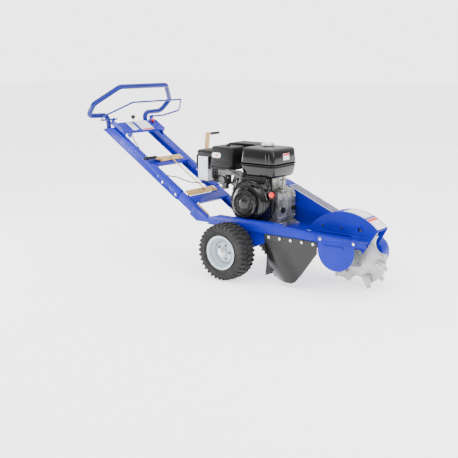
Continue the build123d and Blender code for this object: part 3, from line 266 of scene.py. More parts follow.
def hexagon(name, centre, axis, radius, height):
    """A chamfered hexagon head or nut, centred on a point."""
    turn = {"X": (0, pi / 2, 0), "Y": (pi / 2, 0, 0), "Z": (0, 0, 0)}[axis]
    piece = fresh("cylinder", name, vertices=6, radius=radius, depth=height, location=centre,
                  rotation=turn)
    settle(piece)
    return rounded(piece, radius * 0.12, 2)


def eased(node, width):
    """Stands a copy with eased edges in a CAD node's place."""
    piece = twin(frame["nodes"][node], f"{node}_eased")
    piece.parent = None
    only(piece)
    bpy.ops.object.mode_set(mode="EDIT")
    bpy.ops.mesh.select_all(action="SELECT")
    bpy.ops.mesh.remove_doubles(threshold=SAME_POINT)
    bpy.ops.mesh.dissolve_limited(angle_limit=radians(1))
    bpy.ops.object.mode_set(mode="OBJECT")
    apply(piece, "BEVEL", width=width, segments=2, limit_method="ANGLE", angle_limit=radians(50))
    smooth(piece, 30)
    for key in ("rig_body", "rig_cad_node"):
        del piece[key]
    return piece


def fit(piece, body, coat, *nodes):
    """Hangs a piece on a body in its finish, in place of the CAD nodes named."""
    piece.data.materials.clear()
    piece.data.materials.append(coat)
    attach(piece, body)
    if nodes:
        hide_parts(*nodes)
    return piece


def on_slope(a, y, h):
    """A point of the handles' plane: down the slope, across, and square to it."""
    return HANDLE @ Vector((a, y, h))


def middle(node):
    """The centre of a CAD node's box."""
    low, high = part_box(node)
    return (low + high) / 2


rail_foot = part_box("handle_rail_right")[0]
HANDLE = Matrix.Translation((rail_foot.x, 0, HANDLE_TOP)) @ Matrix.Rotation(SLOPE, 4, "Y")


# ------------------------------------------------------------ finishes
def node_group(name, inputs, outputs):
    """An empty effect with named sockets."""
    group = bpy.data.node_groups.new(name, "ShaderNodeTree")
    for label, kind, value in inputs:
        socket = group.interface.new_socket(label, in_out="INPUT", socket_type=f"NodeSocket{kind}")
        socket.default_value = value
    for label, kind in outputs:
        group.interface.new_socket(label, in_out="OUTPUT", socket_type=f"NodeSocket{kind}")
    entry = group.nodes.new("NodeGroupInput")
    leave = group.nodes.new("NodeGroupOutput")
    return group, entry, leave


def spread_node(tree, low, high):
    """A node that stretches the values between two numbers to the range from 0 to 1."""
    spread = tree.nodes.new("ShaderNodeMapRange")
    spread.inputs["From Min"].default_value = low
    spread.inputs["From Max"].default_value = high
    return spread


def noise_node(tree, detail, scale=None, roughness=None):
    """A noise texture with its detail, and its scale and roughness where they are fixed."""
    noise = tree.nodes.new("ShaderNodeTexNoise")
    noise.inputs["Detail"].default_value = detail
    if scale:
        noise.inputs["Scale"].default_value = scale
    if roughness:
        noise.inputs["Roughness"].default_value = roughness
    return noise


def product_node(tree):
    """A node that multiplies two numbers."""
    product = tree.nodes.new("ShaderNodeMath")
    product.operation = "MULTIPLY"
    return product


def blend_node(tree):
    """A node that mixes two colours."""
    mix = tree.nodes.new("ShaderNodeMix")
    mix.data_type = "RGBA"
    return mix


def patchy_group():
    """Mixes two shades in soft patches."""
    group, entry, leave = node_group(
        "soft patches",
        [("Light", "Color", (1, 1, 1, 1)), ("Dark", "Color", (0, 0, 0, 1)), ("Scale", "Float", 6.0)],
        [("Color", "Color")])
    place = group.nodes.new("ShaderNodeTexCoord")
    noise = noise_node(group, 6, roughness=0.6)
    spread = spread_node(group, 0.35, 0.65)
    mix = blend_node(group)
    link = group.links.new
    link(place.outputs["Object"], noise.inputs["Vector"])
    link(entry.outputs["Scale"], noise.inputs["Scale"])
    link(noise.outputs["Fac"], spread.inputs["Value"])
    link(spread.outputs["Result"], mix.inputs["Factor"])
    link(entry.outputs["Dark"], mix.inputs["A"])
    link(entry.outputs["Light"], mix.inputs["B"])
    link(mix.outputs["Result"], leave.inputs["Color"])
    return group


def grain_group():
    """Fine bumps stretched along one direction or even, with the gloss they break up."""
    group, entry, leave = node_group(
        "fine grain",
        [("Scale", "Float", 400.0), ("Stretch", "Vector", (1, 1, 1)), ("Smooth", "Float", 0.3),
         ("Rough", "Float", 0.5)],
        [("Height", "Float"), ("Roughness", "Float")])
    place = group.nodes.new("ShaderNodeTexCoord")
    stretch = group.nodes.new("ShaderNodeVectorMath")
    stretch.operation = "MULTIPLY"
    fine = noise_node(group, 3)
    broad = noise_node(group, 5, scale=14)
    gloss = spread_node(group, 0.3, 0.7)
    link = group.links.new
    link(place.outputs["Object"], stretch.inputs[0])
    link(entry.outputs["Stretch"], stretch.inputs[1])
    link(stretch.outputs["Vector"], fine.inputs["Vector"])
    link(entry.outputs["Scale"], fine.inputs["Scale"])
    link(place.outputs["Object"], broad.inputs["Vector"])
    link(broad.outputs["Fac"], gloss.inputs["Value"])
    link(entry.outputs["Smooth"], gloss.inputs["To Min"])
    link(entry.outputs["Rough"], gloss.inputs["To Max"])
    link(fine.outputs["Fac"], leave.inputs["Height"])
    link(gloss.outputs["Result"], leave.inputs["Roughness"])
    return group


def dust_group():
    """Pale dust that lies on upward faces, in noisy patches."""
    group, entry, leave = node_group(
        "settled dust",
        [("Color", "Color", (0, 0, 0, 1)), ("Dust", "Color", (0.45, 0.42, 0.38, 1)),
         ("Amount", "Float", 0.2)],
        [("Color", "Color")])
    geometry = group.nodes.new("ShaderNodeNewGeometry")
    parts = group.nodes.new("ShaderNodeSeparateXYZ")
    place = group.nodes.new("ShaderNodeTexCoord")
    noise = noise_node(group, 8, scale=22, roughness=0.7)
    up = spread_node(group, -1.2, 1)
    spread = spread_node(group, 0.4, 0.75)
    both = product_node(group)
    amount = product_node(group)
    mix = blend_node(group)
    link = group.links.new
    link(geometry.outputs["Normal"], parts.inputs["Vector"])
    link(parts.outputs["Z"], up.inputs["Value"])
    link(place.outputs["Object"], noise.inputs["Vector"])
    link(noise.outputs["Fac"], spread.inputs["Value"])
    link(up.outputs["Result"], both.inputs[0])
    link(spread.outputs["Result"], both.inputs[1])
    link(both.outputs["Value"], amount.inputs[0])
    link(entry.outputs["Amount"], amount.inputs[1])
    link(amount.outputs["Value"], mix.inputs["Factor"])
    link(entry.outputs["Color"], mix.inputs["A"])
    link(entry.outputs["Dust"], mix.inputs["B"])
    link(mix.outputs["Result"], leave.inputs["Color"])
    return group


PATCHES, GRAIN, DUST = patchy_group(), grain_group(), dust_group()


def surface(name, slot, light, dark, gloss, metal=0.0, coat=0.0, scale=400.0, depth=0.1, patch=6.0,
            dust=0.1, stretch=(1, 1, 1), specular=0.5):
    """A finish in two shades, with grain, uneven gloss and settled dust.

    Gloss is the least and the most roughness, scale and depth are those of the grain,
    and patch is the scale on which the two shades mix.
    """
    material = bpy.data.materials.new(name)
    material.use_nodes = True
    material["slot"] = slot
    nodes, link = material.node_tree.nodes, material.node_tree.links.new
    shader = nodes["Principled BSDF"]
    patches, grain, dusty = (nodes.new("ShaderNodeGroup") for _ in range(3))
    patches.node_tree, grain.node_tree, dusty.node_tree = PATCHES, GRAIN, DUST
    patches.inputs["Light"].default_value = (*light, 1)
    patches.inputs["Dark"].default_value = (*dark, 1)
    patches.inputs["Scale"].default_value = patch
    grain.inputs["Scale"].default_value = scale
    grain.inputs["Stretch"].default_value = stretch
    grain.inputs["Smooth"].default_value, grain.inputs["Rough"].default_value = gloss
    dusty.inputs["Amount"].default_value = dust
    bump = nodes.new("ShaderNodeBump")
    bump.inputs["Strength"].default_value = depth
    bump.inputs["Distance"].default_value = 0.001
    link(patches.outputs["Color"], dusty.inputs["Color"])
    link(dusty.outputs["Color"], shader.inputs["Base Color"])
    link(grain.outputs["Roughness"], shader.inputs["Roughness"])
    link(grain.outputs["Height"], bump.inputs["Height"])
    link(bump.outputs["Normal"], shader.inputs["Normal"])
    shader.inputs["Metallic"].default_value = metal
    shader.inputs["Coat Weight"].default_value = coat
    shader.inputs["Coat Roughness"].default_value = 0.12
    shader.inputs["Specular IOR Level"].default_value = specular
    return material


BLUE = surface(
    "powder coat blue", "powder_blue", (0.0008, 0.007, 0.33), (0.0006, 0.005, 0.26), (0.30, 0.45),
    coat=0.04, scale=300, depth=0.015, dust=0.01, specular=0.18)
BAR_BLUE = surface(
    "handlebar blue", "bar_blue", (0.002, 0.010, 0.20), (0.0015, 0.007, 0.15), (0.2, 0.32), coat=0.1,
    scale=300, depth=0.01, dust=0.0, specular=0.25)
TYRE = surface(
    "tyre rubber", "tyre", (0.014, 0.013, 0.013), (0.006, 0.006, 0.006), (0.55, 0.8), scale=700,
    depth=0.25, dust=0.05, patch=12, specular=0.3)
RIM = surface(
    "rim paint", "rim_grey", (0.50, 0.58, 0.64), (0.40, 0.48, 0.54), (0.35, 0.5), coat=0.15, scale=700,
    depth=0.05, dust=0.15)
STEEL = surface(
    "zinc plated steel", "steel", (0.72, 0.72, 0.72), (0.5, 0.5, 0.5), (0.25, 0.4), metal=1.0, scale=500,
    depth=0.1, patch=40)
PALE_STEEL = surface(
    "cutter steel", "bright_steel", (0.56, 0.56, 0.55), (0.36, 0.36, 0.35), (0.35, 0.55), metal=0.6,
    scale=260, depth=0.15, patch=14, stretch=(1, 0.2, 1))
YELLOW = surface(
    "yellow zinc", "zinc_yellow", (0.52, 0.34, 0.10), (0.40, 0.25, 0.09), (0.35, 0.5), metal=0.45,
    scale=350, depth=0.08, patch=18)
BLACK_GLOSS = surface(
    "black enamel", "black_metal", (0.003, 0.003, 0.003), (0.002, 0.002, 0.002), (0.10, 0.2), coat=0.3,
    scale=900, depth=0.03, dust=0.003, specular=0.25)
BLACK_MATT = surface(
    "black moulding", "black_plastic", (0.008, 0.008, 0.009), (0.004, 0.004, 0.005), (0.3, 0.45),
    scale=900, depth=0.2, dust=0.01, specular=0.22)
ALLOY = surface(
    "cast aluminium", "cast_alu", (0.46, 0.46, 0.43), (0.15, 0.15, 0.14), (0.3, 0.55), metal=0.75,
    scale=600, depth=0.5, patch=16, dust=0.1)
IRON = surface(
    "cast iron", "cast_iron", (0.20, 0.21, 0.22), (0.12, 0.13, 0.14), (0.45, 0.65), metal=0.5, scale=500,
    depth=0.4, dust=0.15)
RED = surface(
    "red moulding", "red_plastic", (0.80, 0.006, 0.006), (0.66, 0.004, 0.004), (0.2, 0.35), coat=0.15,
    scale=600, depth=0.05, dust=0.03)
RUBBER = surface(
    "skirt rubber", "rubber", (0.006, 0.006, 0.006), (0.003, 0.003, 0.003), (0.22, 0.30), scale=160,
    depth=0.02, dust=0.0, patch=9, specular=0.4)
MESH = surface(
    "expanded metal", "mesh", (0.62, 0.62, 0.72), (0.40, 0.40, 0.52), (0.3, 0.45), metal=0.6, scale=400,
    depth=0.1, patch=30)
PALE_SHEET = surface(
    "pale enamel", "light_sheet", (0.72, 0.75, 0.78), (0.64, 0.67, 0.70), (0.35, 0.5), scale=700,
    depth=0.05, dust=0.06)
LABEL = surface(
    "label film", "light_sheet", (0.86, 0.86, 0.85), (0.78, 0.78, 0.77), (0.3, 0.4), scale=900,
    depth=0.02, dust=0.03)
CARBIDE = surface(
    "brazed carbide", "bright_steel", (0.52, 0.50, 0.32), (0.36, 0.36, 0.26), (0.3, 0.5), metal=0.8,
    scale=500, depth=0.2, patch=60)
DARK_STEEL = surface(
    "dark fasteners", "steel", (0.10, 0.10, 0.10), (0.05, 0.05, 0.05), (0.35, 0.55), metal=0.8)


# ------------------------------------------------------------ welded frame
def frame_steel():
    """Every folded and welded sheet, with its edges eased."""
    for node in ("deck", "chassis_side_right", "chassis_side_left", "upright_right", "upright_left",
                 "cross_members", "handle_rail_right", "handle_rail_left", "control_panel",
                 "cutter_housing", "side_bar", "side_plate", "belt_guard"):
        fit(eased(node, FOLD_EDGE), "frame", BLUE, node)


def plain_nodes():
    """Pieces whose own shape is right get their finish."""
    coats = {
        "axle": STEEL, "wheel_bearings": STEEL,
        "pivot_bolts": STEEL, "throttle_lever": STEEL, "lock_lever": YELLOW, "lock_crank": YELLOW,
        "lock_rod": YELLOW, "lock_link": YELLOW, "swing_lever": YELLOW, "cutter_shaft": STEEL,
        "crankshaft": STEEL, "driver_pulley": IRON, "driven_pulley": IRON, "drive_belts": RUBBER,
        "throttle_cable": BLACK_MATT, "wire_loom": BLACK_MATT, "shaft_bearings": IRON,
        "frame_bolts": STEEL, "axle_nuts": STEEL, "cylinder": ALLOY, "carburettor": DARK_STEEL,
        "heat_shield": PALE_SHEET, "shield_cap": BLACK_MATT, "switch_box": BLACK_MATT,
        "crankcase": ALLOY, "muffler": BLACK_MATT, "oil_caps": BLACK_MATT,
    }
    for node, coat in coats.items():
        piece = frame["nodes"][node]
        piece.data.materials.clear()
        piece.data.materials.append(coat)
        smooth(piece, 30)


# ------------------------------------------------------------ road wheels
def tyre(side, name):
    """A low lug tyre: a rounded carcass, two rows of shoulder blocks and a middle row."""
    low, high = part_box(f"tyre_{side}")
    centre, radius, half = (low + high) / 2, (high.z - low.z) / 2, (high.y - low.y) / 2
    seat = radius * 0.548
    base = radius - TREAD_DEPTH
    shoulder_turn, block_turn, stagger = radians(12), radians(20), radians(2.6)
    carcass = turned(name, [
        (seat, -half * 0.72), (seat + 0.006, -half * 0.84), (seat + 0.02, -half * 0.93),
        (radius - 0.045, -half * 0.985), (radius - 0.028, -half * 0.98), (radius - 0.014, -half * 0.90),
        (base - 0.001, -half * 0.66), (base + 0.001, 0), (base - 0.001, half * 0.66),
        (radius - 0.014, half * 0.90), (radius - 0.028, half * 0.98), (radius - 0.045, half * 0.985),
        (seat + 0.02, half * 0.93), (seat + 0.006, half * 0.84), (seat, half * 0.72),
        (seat, -half * 0.72)], centre, steps=ROUND)
    lugs = []
    for edge in (-1, 1):
        shoulder = brick("shoulder lug", (-0.0088, min(edge * 0.020, edge * half), 0.004),
                         (0.0088, max(edge * 0.020, edge * half), 0.034), 0)
        bpy.ops.object.mode_set(mode="EDIT")
        pick_faces(shoulder, lambda spot, normal: normal.y * edge > 0.5)
        bpy.ops.transform.translate(value=(0, 0, -0.006))
        bpy.ops.transform.resize(value=(0.8, 1, 1))
        pick_faces(shoulder, lambda spot, normal: normal.z > 0.5)
        bpy.ops.transform.resize(value=(0.86, 0.97, 1))
        bpy.ops.object.mode_set(mode="OBJECT")
        rounded(shoulder, 0.0016, 2)
        placed(shoulder, Matrix.Rotation(edge * shoulder_turn, 4, "Z"))
        placed(shoulder, Matrix.Translation(centre + Vector((0, 0, radius - 0.034))))
        lugs.append(ring(shoulder, LUGS, centre, start=stagger * edge))
    block = brick("middle lug", (-0.0075, -0.015, 0), (0.0075, 0.015, 0.014), 0.0018, 2)
    placed(block, Matrix.Rotation(block_turn, 4, "Z"))
    placed(block, Matrix.Translation(centre + Vector((0, 0, radius - 0.0142))))
    lugs.append(ring(block, LUGS, centre))
    ribs = [turned("sidewall rib", [
        (radius - 0.052, edge * half * 0.94), (radius - 0.050, edge * half),
        (radius - 0.047, edge * half), (radius - 0.045, edge * half * 0.94)], centre, steps=ROUND)
        for edge in (-1, 1)]
    return joined(name, [carcass, *lugs, *ribs])


def rim(side, name):
    """A pressed rim: rolled flanges, a stepped dish, a hub tube and its weld."""
    low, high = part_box(f"rim_{side}")
    centre = (low + high) / 2
    half, lip = (high.y - low.y) / 2, (high.z - low.z) / 2
    out = LEFT_SIDE if side == "left" else RIGHT_SIDE
    seat = lip - 0.0092
    shell = [
        (lip - 0.002, out * half), (lip, out * (half - 0.002)), (lip - 0.003, out * (half - 0.006)),
        (seat, out * (half - 0.009)), (seat - 0.001, out * 0.024), (0.078, out * 0.016),
        (0.078, -out * 0.016), (seat - 0.001, -out * 0.024), (seat, -out * (half - 0.009)),
        (lip, -out * (half - 0.004)), (lip - 0.002, -out * half), (seat - 0.004, -out * (half - 0.004)),
        (seat - 0.005, -out * 0.026), (0.074, -out * 0.012), (0.074, -out * 0.002),
        (0.062, out * 0.003), (0.054, out * 0.015), (0.026, out * 0.019), (0.026, out * 0.022),
        (0.055, out * 0.019), (0.064, out * 0.008), (0.074, out * 0.003), (0.074, out * 0.012),
        (seat - 0.005, out * 0.026), (seat - 0.004, out * (half - 0.005)), (lip - 0.002, out * half)]
    wheel = turned(name, shell, centre, steps=ROUND)
    hub = turned("hub tube", [
        (0.0215, -0.044), (0.0255, -0.044), (0.0262, -0.042), (0.0262, 0.042), (0.0255, 0.044),
        (0.0215, 0.044), (0.0215, -0.044)], centre)
    bead = turned("hub weld", [
        (0.0255, out * 0.0215), (0.0295, out * 0.0225), (0.0305, out * 0.0205),
        (0.0255, out * 0.0195)], centre)
    return joined(name, [wheel, hub, bead])


def rim_fittings(side):
    """Five bolts in the dish and the tyre valve."""
    low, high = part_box(f"rim_{side}")
    centre = (low + high) / 2
    out = LEFT_SIDE if side == "left" else RIGHT_SIDE
    bolt = hexagon(f"rim_bolts_{side}", centre + Vector((0, out * 0.0245, 0.041)), "Y", 0.0065, 0.006)
    bolts = ring(bolt, 5, centre, start=radians(18))
    stem = turned(f"valve_{side}", [
        (0, 0), (0.0042, 0), (0.0042, 0.008), (0.0028, 0.012), (0.0028, 0.022), (0.0038, 0.023),
        (0.0038, 0.031), (0.0022, 0.033), (0, 0.033)], ORIGIN, steps=20)
    placed(stem, Matrix.Rotation(out * radians(-70), 4, "X"))
    placed(stem, Matrix.Translation(centre + Vector((0.066, out * 0.012, 0))))
    cap = turned(f"hub_cap_{side}", [
        (0.0130, out * 0.0445), (0.0250, out * 0.0445), (0.0250, out * 0.0475), (0.0210, out * 0.0490),
        (0.0130, out * 0.0490), (0.0130, out * 0.0445)], centre)
    return bolts, stem, cap


def road_wheels():
    """Both wheels, each with its tyre, rim, bolts, valve and cap."""
    for side in ("left", "right"):
        body = f"wheel_{side}"
        fit(tyre(side, f"tread_{side}"), body, TYRE, f"tyre_{side}")
        fit(rim(side, f"wheel_rim_{side}"), body, RIM, f"rim_{side}")
        bolts, stem, cap = rim_fittings(side)
        fit(bolts, body, DARK_STEEL)
        fit(stem, body, BLACK_MATT)
        fit(cap, body, STEEL)


# ------------------------------------------------------------ engine
def fuel_tank():
    """Two glossy pressings with a seam flange, a crowned top and two corner flutes."""
    low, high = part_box("fuel_tank")
    low, high = low - Vector((0.006, 0.003, 0.006)), high + Vector((0.001, -0.005, -0.007))
    seam = low.z + 0.074
    upper = brick("tank", (low.x, low.y, seam - 0.001), (high.x, high.y, high.z), 0)
    bpy.ops.object.mode_set(mode="EDIT")
    pick_faces(upper, lambda spot, normal: normal.z > 0.5)
    bpy.ops.transform.resize(value=(0.93, 0.93, 1))
    bpy.ops.mesh.inset(thickness=0.045)
    bpy.ops.transform.translate(value=(0, 0, 0.004))
    bpy.ops.object.mode_set(mode="OBJECT")
    rounded(upper, 0.017, 5, 20)
    lower = brick("tank foot", (low.x, low.y, low.z), (high.x, high.y, seam + 0.001), 0)
    tapered(lower, -1, (0.90, 0.88, 1))
    rounded(lower, 0.018, 5, 20)
    flange = brick("tank seam", (low.x - 0.005, low.y - 0.005, seam - 0.0016),
                   (high.x + 0.005, high.y + 0.005, seam + 0.0016))
    round_edges(flange, 0.022, 6, upright)
    rounded(flange, 0.0008, 2)
    neck_at = middle("fuel_cap")
    neck = turned("tank neck", [
        (0.024, high.z - 0.008), (0.032, high.z - 0.004), (0.027, high.z + 0.004), (0.026, high.z + 0.007),
        (0.022, high.z + 0.007), (0.022, high.z - 0.008)], (neck_at.x, neck_at.y, 0), "Z")
    flutes = [brick("tank flute", (x - 0.004, low.y + 0.0010, seam + 0.006),
                    (x + 0.004, low.y + 0.0062, high.z - 0.020), 0.0011, 2)
              for x in (high.x - 0.052, high.x - 0.030)]
    return joined("tank_shell", [upper, lower, flange, neck, *flutes])


def fuel_cap():
    """Plated cap with a knurled side and a recessed top."""
    low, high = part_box("fuel_cap")
    centre = Vector(((low.x + high.x) / 2, (low.y + high.y) / 2, 0))
    radius = (high.x - low.x) / 2
    cap = turned("filler_cap", [
        (0, low.z + 0.004), (radius - 0.004, low.z), (radius - 0.0015, low.z + 0.001),
        (radius - 0.0015, high.z - 0.005), (radius - 0.006, high.z - 0.001), (radius - 0.012, high.z),
        (radius - 0.015, high.z - 0.002), (0, high.z - 0.002)], centre, "Z")
    tooth = brick("cap grip", (centre.x + radius - 0.003, centre.y - 0.0022, low.z + 0.002),
                  (centre.x + radius, centre.y + 0.0022, high.z - 0.005), 0.0008, 2)
    return joined("filler_cap", [cap, ring(tooth, 26, centre, "Z")])


def air_cleaner():
    """Moulded cover with a waist groove, a lip and raised bands, on its base."""
    low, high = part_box("air_cleaner")
    top = high.z - 0.013
    cover = brick("filter_cover", (low.x, low.y, low.z + 0.014), (high.x, high.y, top), 0)
    tapered(cover, 1, (0.92, 0.90, 1))
    round_edges(cover, 0.024, 6, upright)
    rounded(cover, 0.007, 3, 40)
    base = brick("filter base", (low.x + 0.004, low.y + 0.004, low.z),
                 (high.x - 0.004, high.y - 0.004, low.z + 0.012), 0.004)
    bands = [brick("filter band", (low.x + 0.022, low.y - 0.0004, low.z + z),
                   (high.x - 0.024, low.y + 0.004, low.z + z + 0.003), 0.0008, 2)
             for z in (0.030, 0.040, 0.050)]
    lip = brick("filter lip", (low.x + 0.001, low.y + 0.001, low.z + 0.010),
                (high.x - 0.001, high.y - 0.001, low.z + 0.015), 0.002, 2)
    return joined("filter_cover", [cover, base, lip, *bands])


def wing_nut():
    """The nut that holds the air cleaner's cover, on its stud."""
    low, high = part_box("air_cleaner")
    at = Vector(((low.x + high.x) / 2, (low.y + high.y) / 2, high.z - 0.013))
    boss = turned("wing_nut", [
        (0.003, 0), (0.010, 0), (0.007, 0.008), (0.005, 0.012), (0.003, 0.012)], at, "Z", 24)
    wings = [brick("nut wing", at + Vector((start, -0.0015, 0.003)),
                   at + Vector((start + 0.014, 0.0015, 0.012)), 0.0012, 2) for start in (-0.015, 0.001)]
    stud = turned("cover stud", [(0, 0), (0.003, 0), (0.003, 0.0125), (0, 0.0130)], at, "Z", 16)
    return joined("wing_nut", [boss, *wings, stud])


def blower_housing():
    """Deep drum with a rolled shoulder, raised rings, a cooling duct and louvres."""
    low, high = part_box("fan_housing")
    x, z = middle("crankshaft").x, middle("crankshaft").z
    radius = max(z - low.z, high.x - x - 0.0001)
    at = Vector((x, 0, z))
    near, far = low.y, high.y
    cover_low, cover_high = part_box("recoil_cover")
    bore = (cover_high.x - cover_low.x) / 2 - 0.018
    drum = turned("blower", [
        (bore, near + 0.006), (bore, near), (0.098, near), (0.104, near + 0.003),
        (radius - 0.020, near + 0.010), (radius - 0.006, near + 0.020), (radius, near + 0.034),
        (radius, far), (radius - 0.004, far), (radius - 0.005, near + 0.040), (bore, near + 0.006)],
        at, steps=ROUND)
    rings = [turned("blower ring", [
        (radius - inset, near + y), (radius - inset + 0.004, near + y - 0.003),
        (radius - inset + 0.006, near + y + 0.004)], at, steps=ROUND)
        for inset, y in ((0.026, 0.010), (0.014, 0.017))]
    duct = brick("blower duct", (low.x, near + 0.036, z), (x + 0.112, far, high.z - 0.01), 0)
    tapered(duct, 1, (0.72, 0.9, 1))
    rounded(duct, 0.018, 4)
    slot = brick("blower louvre", (x + radius - 0.003, near + 0.040, z - 0.012),
                 (x + radius + 0.001, far - 0.012, z + 0.012), 0.0015, 2)
    louvres = ring(slot, 7, at, start=radians(-42), full=radians(98))
    shell = joined("blower", [drum, *rings, duct, louvres])
    under = brick("trim block", (-1, -1, low.z - 0.5), (1, 1, low.z))
    apply(shell, "BOOLEAN", object=under, operation="DIFFERENCE", solver="EXACT")
    bpy.data.objects.remove(under)
    return smooth(shell)


def starter_cover():
    """Recoil starter cover: an outer band, a blank middle and radial vanes between them."""
    low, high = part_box("recoil_cover")
    at = Vector(((low.x + high.x) / 2, 0, (low.z + high.z) / 2))
    radius = (high.x - low.x) / 2
    near, far = low.y, high.y
    band = turned("starter", [
        (radius - 0.003, far), (radius, far - 0.002), (radius, near + 0.012),
        (radius - 0.004, near + 0.004), (radius - 0.011, near + 0.001), (radius - 0.015, near + 0.001),
        (radius - 0.015, near + 0.005), (radius - 0.009, near + 0.009), (radius - 0.004, near + 0.014),
        (radius - 0.004, far), (radius - 0.003, far)], at, steps=ROUND)
    middle_disc = turned("starter middle", [
        (0, near), (0.028, near), (0.032, near + 0.0015), (0.034, near + 0.005),
        (0.031, near + 0.006), (0, near + 0.004)], at)
    vane = brick("starter vane", at + Vector((0.031, near + 0.001, -0.0014)),
                 at + Vector((radius - 0.012, near + 0.007, 0.0014)), 0.0006, 2)
    hoop = turned("starter hoop", [
        (0.050, near + 0.001), (0.052, near), (0.054, near + 0.001), (0.052, near + 0.003)], at)
    vanes = joined("starter vane", [ring(vane, 40, at), hoop])
    back = turned("starter back", [
        (0, near + 0.014), (radius - 0.005, near + 0.014), (radius - 0.005, near + 0.017),
        (0, near + 0.017)], at)
    lug = brick("starter lug", at + Vector((radius - 0.004, far - 0.010, -0.009)),
                at + Vector((radius + 0.010, far - 0.002, 0.009)), 0.003)
    return joined("starter", [band, middle_disc, vanes, back, ring(lug, 3, at, start=radians(35))])


def starter_grip():
    """Moulded T grip, waisted in the middle."""
    low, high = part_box("recoil_handle")
    waist, half_waist = (low.x + high.x) / 2, (high.x - low.x) * 0.26
    grip = brick("starter_grip", low, high)
    bpy.ops.object.mode_set(mode="EDIT")
    bpy.ops.mesh.select_all(action="SELECT")
    bpy.ops.mesh.subdivide(number_cuts=3)
    pick_faces(grip, lambda spot, normal: abs(spot.x - waist) < half_waist)
    bpy.ops.transform.resize(value=(1, 0.8, 0.72))
    bpy.ops.object.mode_set(mode="OBJECT")
    return rounded(grip, 0.0035, 3)


def engine_fittings():
    """Screws, ribs, pads, a side cover and a drain plug on the outside of the engine."""
    case_low, case_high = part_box("crankcase")
    shaft = middle("crankshaft")
    tank_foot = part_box("fuel_tank")[0].z
    face = case_high.x - 0.008
    ribs = [brick("case rib", (face - 0.006, case_low.y + 0.02 + i * 0.034, case_low.z + 0.045),
                  (face + 0.004, case_low.y + 0.024 + i * 0.034, case_low.z + 0.150), 0.0015, 2)
            for i in range(5)]
    cross = brick("case bar", (face - 0.006, case_low.y + 0.012, case_low.z + 0.052),
                  (face + 0.003, case_high.y - 0.020, case_low.z + 0.058), 0.0015, 2)
    fit(joined("case_ribs", [*ribs, cross]), "frame", ALLOY)
    cover_at = Vector((shaft.x, case_high.y - 0.004, shaft.z))
    cover = turned("case_cover", [
        (0.030, 0), (0.078, 0), (0.082, 0.003), (0.082, 0.004), (0.060, 0.0085), (0.034, 0.0105),
        (0.030, 0.0105), (0.030, 0)], cover_at - Vector((0, 0.0055, 0)))
    fit(cover, "frame", ALLOY)
    screw = hexagon("cover_screws", cover_at + Vector((0.073, 0.001, 0)), "Y", 0.0058, 0.006)
    fit(ring(screw, 8, cover_at, start=radians(22)), "frame", STEEL)
    pads = []
    for i in range(4):
        level = case_low.z + 0.205 + i * 0.020
        pads.append(brick(
            "case pad", (face - 0.040 + i * 0.012, case_low.y + 0.030 + i * 0.006, level),
            (face + 0.006 - i * 0.010, case_low.y + 0.120 - i * 0.010, level + 0.009), 0.003, 2))
    web = brick("case web", (face - 0.010, case_low.y + 0.050, case_low.z + 0.150),
                (face + 0.002, case_low.y + 0.058, tank_foot), 0.003, 2)
    fit(joined("case_web", [web, *pads]), "frame", ALLOY)
    heads = [hexagon("case_screws", (face + 0.001, case_low.y + y, case_low.z + z), "X", 0.0062, 0.012)
             for y, z in ((0.018, 0.052), (0.018, 0.110), (0.018, 0.165), (0.168, 0.052),
                          (0.168, 0.165), (0.093, 0.176))]
    fit(joined("case_screws", heads), "frame", STEEL)
    drain_at = (case_high.x - 0.004, case_low.y + 0.030, case_low.z + 0.020)
    fit(hexagon("drain_plug", drain_at, "X", 0.009, 0.010), "frame", STEEL)


def exhaust():
    """Muffler with an arched heat guard over it, pierced in rows."""
    low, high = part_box("muffler")
    guard = brick("exhaust_guard", (low.x, low.y, GUARD_FOOT), high, 0)
    round_edges(guard, 0.04, 8, lambda a, b: abs(a.y - b.y) > 0.05 and a.z > high.z - 0.001)
    rounded(guard, 0.005, 3, 40)
    slot = brick("guard slot", (low.x + 0.030, low.y - 0.0012, high.z - 0.060),
                 (low.x + 0.036, low.y + 0.002, high.z - 0.020), 0.001, 2)
    slots = row(slot, 14, (0.0135, 0, 0))
    back = twin(slots, "guard slots back", Matrix.Translation((0, high.y - low.y - 0.0008, 0)))
    return joined("exhaust_guard", [guard, slots, back])


def intake_body():
    """Black elbow from the air cleaner down to the carburettor, with its clamp and choke lever."""
    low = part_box("air_cleaner")[0]
    elbow = brick("intake_body", (low.x + 0.006, low.y + 0.010, low.z - 0.082),
                  (low.x + 0.092, low.y + 0.120, low.z + 0.002), 0)
    tapered(elbow, -1, (0.82, 0.8, 1))
    rounded(elbow, 0.012, 4)
    ribs = [brick("elbow rib", (low.x + 0.018 + i * 0.020, low.y + 0.006, low.z - 0.060),
                  (low.x + 0.021 + i * 0.020, low.y + 0.014, low.z - 0.010), 0.001, 2) for i in range(4)]
    clamp = turned("clamp", [
        (0.020, -0.004), (0.0225, -0.004), (0.0225, 0.004), (0.020, 0.004), (0.020, -0.004)],
        (low.x + 0.050, low.y + 0.008, low.z - 0.046), "Y", 40)
    choke = brick("choke", (low.x + 0.030, low.y - 0.006, low.z - 0.074),
                  (low.x + 0.078, low.y - 0.002, low.z - 0.066), 0.0015, 2)
    return joined("intake_body", [elbow, *ribs, clamp, choke])


